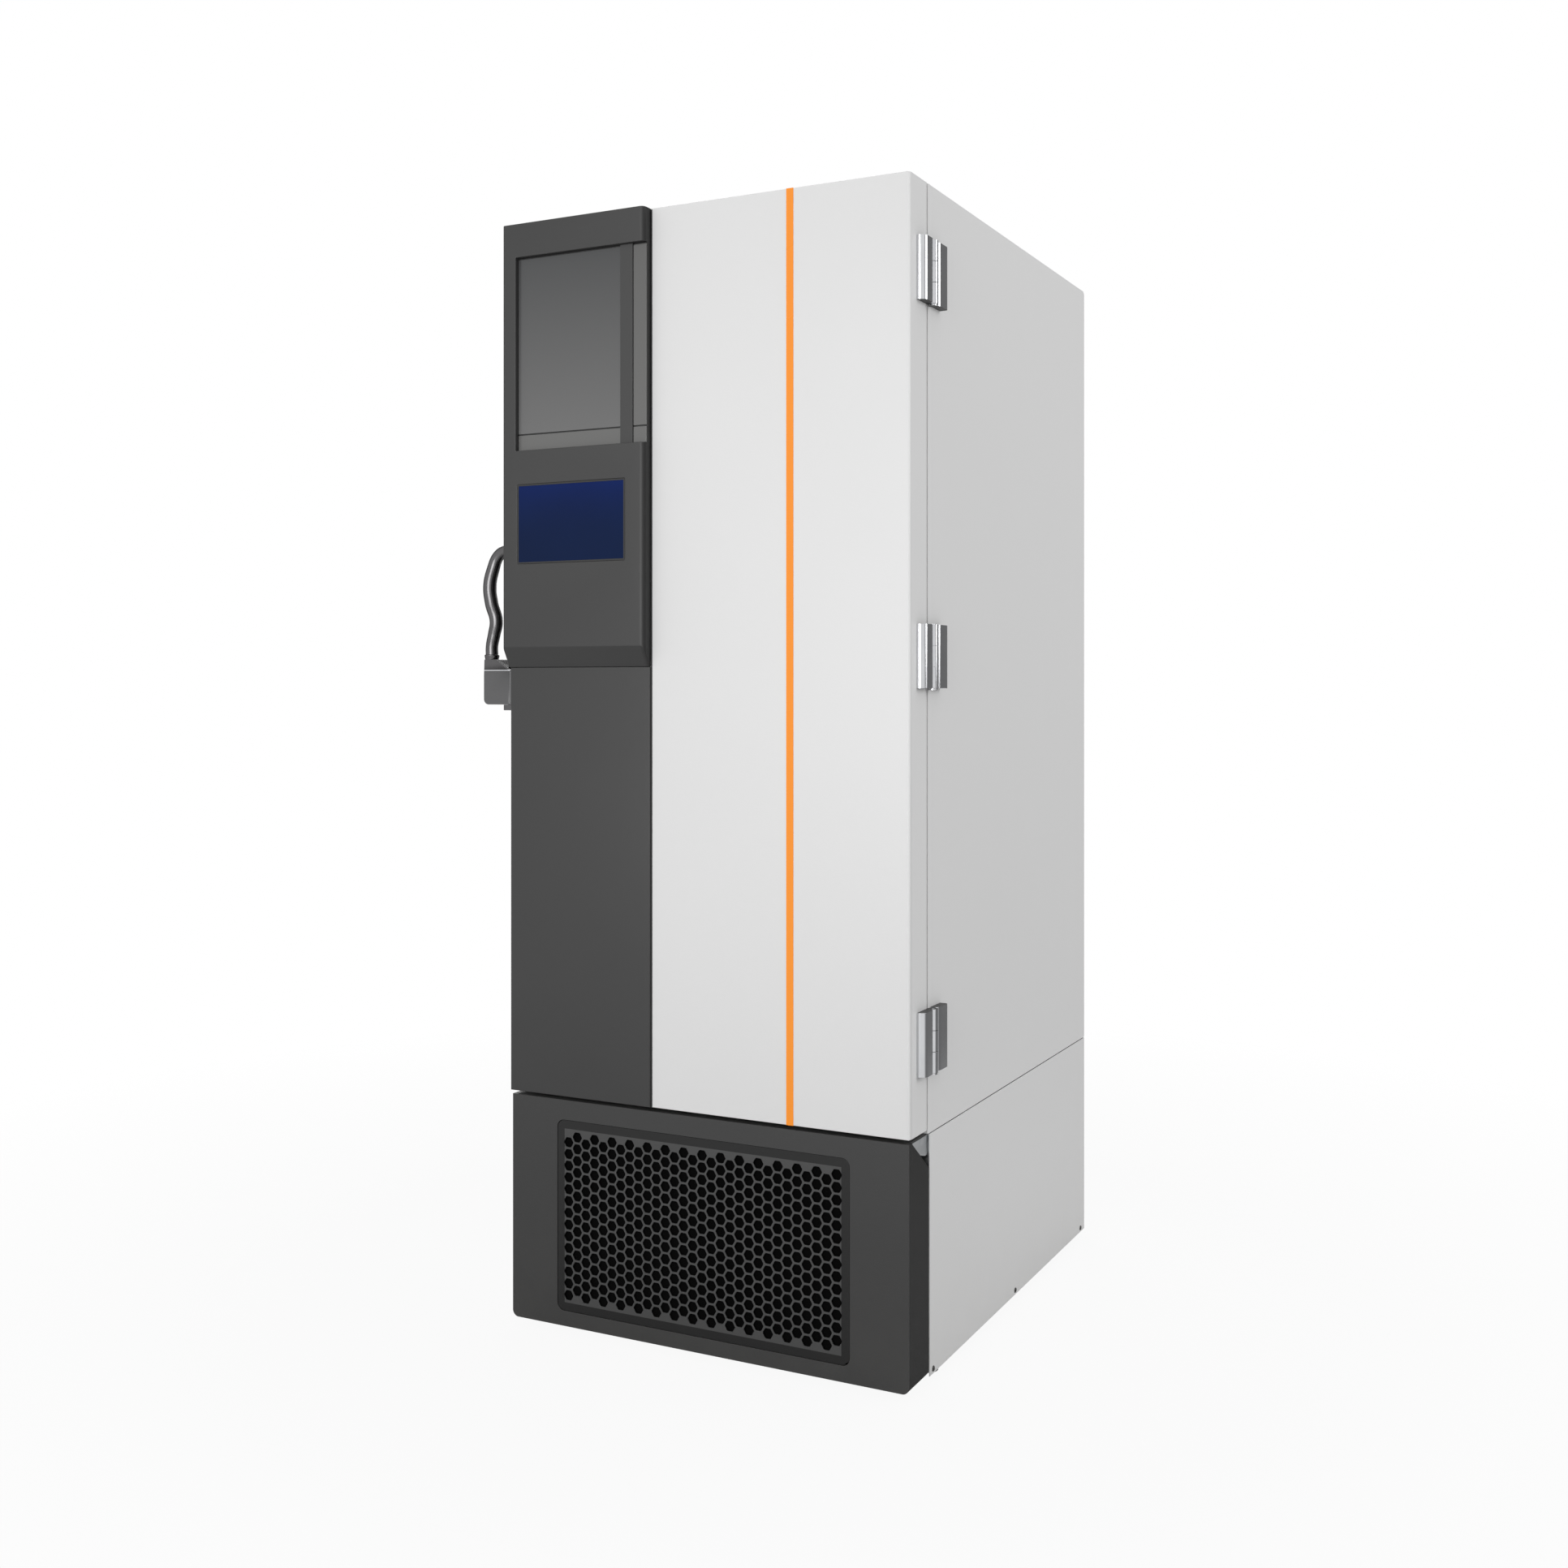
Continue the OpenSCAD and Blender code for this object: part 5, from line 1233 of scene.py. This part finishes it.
# %% [markdown]
# ## Floor, backdrop and light
# The freezer stands in plain white. The floor is pale and takes a soft shadow near the body, and it
# fades into the white of the world before the horizon shows. The world is white to the camera, and
# dimmer as a light, so that a pale door doesn't clip. In reflections it is a room with a bright front
# wall and ceiling and a dark rear end, which gives the chrome its bright and dark bands.

# %% Floor
FLOOR_RADIUS = 6.0
FLOOR_GREY = 0.48
FLOOR_GLOW = 0.93
FADE_START = 1.0
FADE_END = 2.6


def mix_shaders(tree, share, first, second):
    """A shader between two others by a share."""
    node = add(tree, "MixShader", Fac=share)
    feed(node.inputs[1], first.outputs[0])
    feed(node.inputs[2], second.outputs[0])
    return node


bpy.ops.object.select_all(action="DESELECT")
bpy.ops.mesh.primitive_circle_add(vertices=128, radius=FLOOR_RADIUS, fill_type="NGON", location=(0, 0, 0))
floor = bpy.context.active_object
floor.name = "floor"
floor_material = bpy.data.materials.new("pale_floor")
floor_material.use_nodes = True
tree = floor_material.node_tree
bsdf = set_inputs(tree.nodes["Principled BSDF"], Roughness=0.9, Specular_IOR_Level=0.1)
set_inputs(bsdf, Base_Color=(FLOOR_GREY, FLOOR_GREY, FLOOR_GREY, 1))
seen_glow = math_node(tree, "MULTIPLY", add(tree, "LightPath").outputs["Is Camera Ray"], FLOOR_GLOW)
pale = mix_shaders(tree, seen_glow, bsdf, add(tree, "Emission"))
distance = add(tree, "VectorMath", Vector=object_place(tree))
distance.operation = "LENGTH"
fade = ranged(tree, distance.outputs["Value"], 0.0, 1.0, FADE_START, FADE_END)
blend = mix_shaders(tree, fade, pale, add(tree, "BsdfTransparent"))
set_inputs(tree.nodes["Material Output"], Surface=blend.outputs[0])
floor.data.materials.append(floor_material)
print("floor of radius", FLOOR_RADIUS, "fades from", FADE_START, "to", FADE_END)

# %% World
WORLD_LIGHT = 0.50
DARK_END = 0.2
world = bpy.data.worlds.new("white_room")
bpy.context.scene.world = world
world.use_nodes = True
tree = world.node_tree
background = set_inputs(tree.nodes["Background"], Color=(1, 1, 1, 1))
rays = add(tree, "LightPath").outputs
direct = math_node(tree, "MAXIMUM", rays["Is Camera Ray"], rays["Is Transmission Ray"])
direction = add(tree, "SeparateXYZ", Vector=add(tree, "TexCoord").outputs["Generated"])
front_wall = ranged(tree, direction.outputs["Y"], 1.0, DARK_END, start=-0.35, end=0.1)
ceiling = ranged(tree, direction.outputs["Z"], 0.0, 1.0, start=0.5, end=0.8)
room = math_node(tree, "MAXIMUM", front_wall, ceiling)
mirrored = math_node(tree, "MULTIPLY", rays["Is Glossy Ray"], room)
not_mirror = math_node(tree, "SUBTRACT", 1.0, rays["Is Glossy Ray"])
others = math_node(tree, "MULTIPLY", not_mirror, math_node(tree, "MAXIMUM", direct, WORLD_LIGHT))
set_inputs(background, Strength=math_node(tree, "ADD", others, mirrored))
print("world of strength", WORLD_LIGHT, "as a light")

# %% Lamps
def soft_lamp(name, place, target, size, power):
    """An area lamp that looks at a point."""
    data = bpy.data.lights.new(name, "AREA")
    data.shape = "RECTANGLE"
    data.size, data.size_y = size
    data.energy = power
    lamp = bpy.data.objects.new(name, data)
    lamp.location = place
    lamp.rotation_euler = (Vector(target) - Vector(place)).to_track_quat("-Z", "Y").to_euler()
    bpy.context.scene.collection.objects.link(lamp)
    print(name, "of", power, "W")


soft_lamp("key_lamp", (0.3, -4.8, 1.6), (0, -0.45, 0.85), (2.4, 2.6), 98)
soft_lamp("side_lamp", (4.4, 0.9, 2.4), (0.4, 0.1, 1.0), (2.0, 2.4), 60)
soft_lamp("rear_lamp", (-2.8, 4.2, 2.6), (0, 0.4, 1.0), (2.4, 2.4), 70)
soft_lamp("top_lamp", (0.0, 0.4, 4.6), (0, 0, 1.0), (2.6, 2.6), 30)
bpy.context.scene.view_settings.view_transform = "Standard"
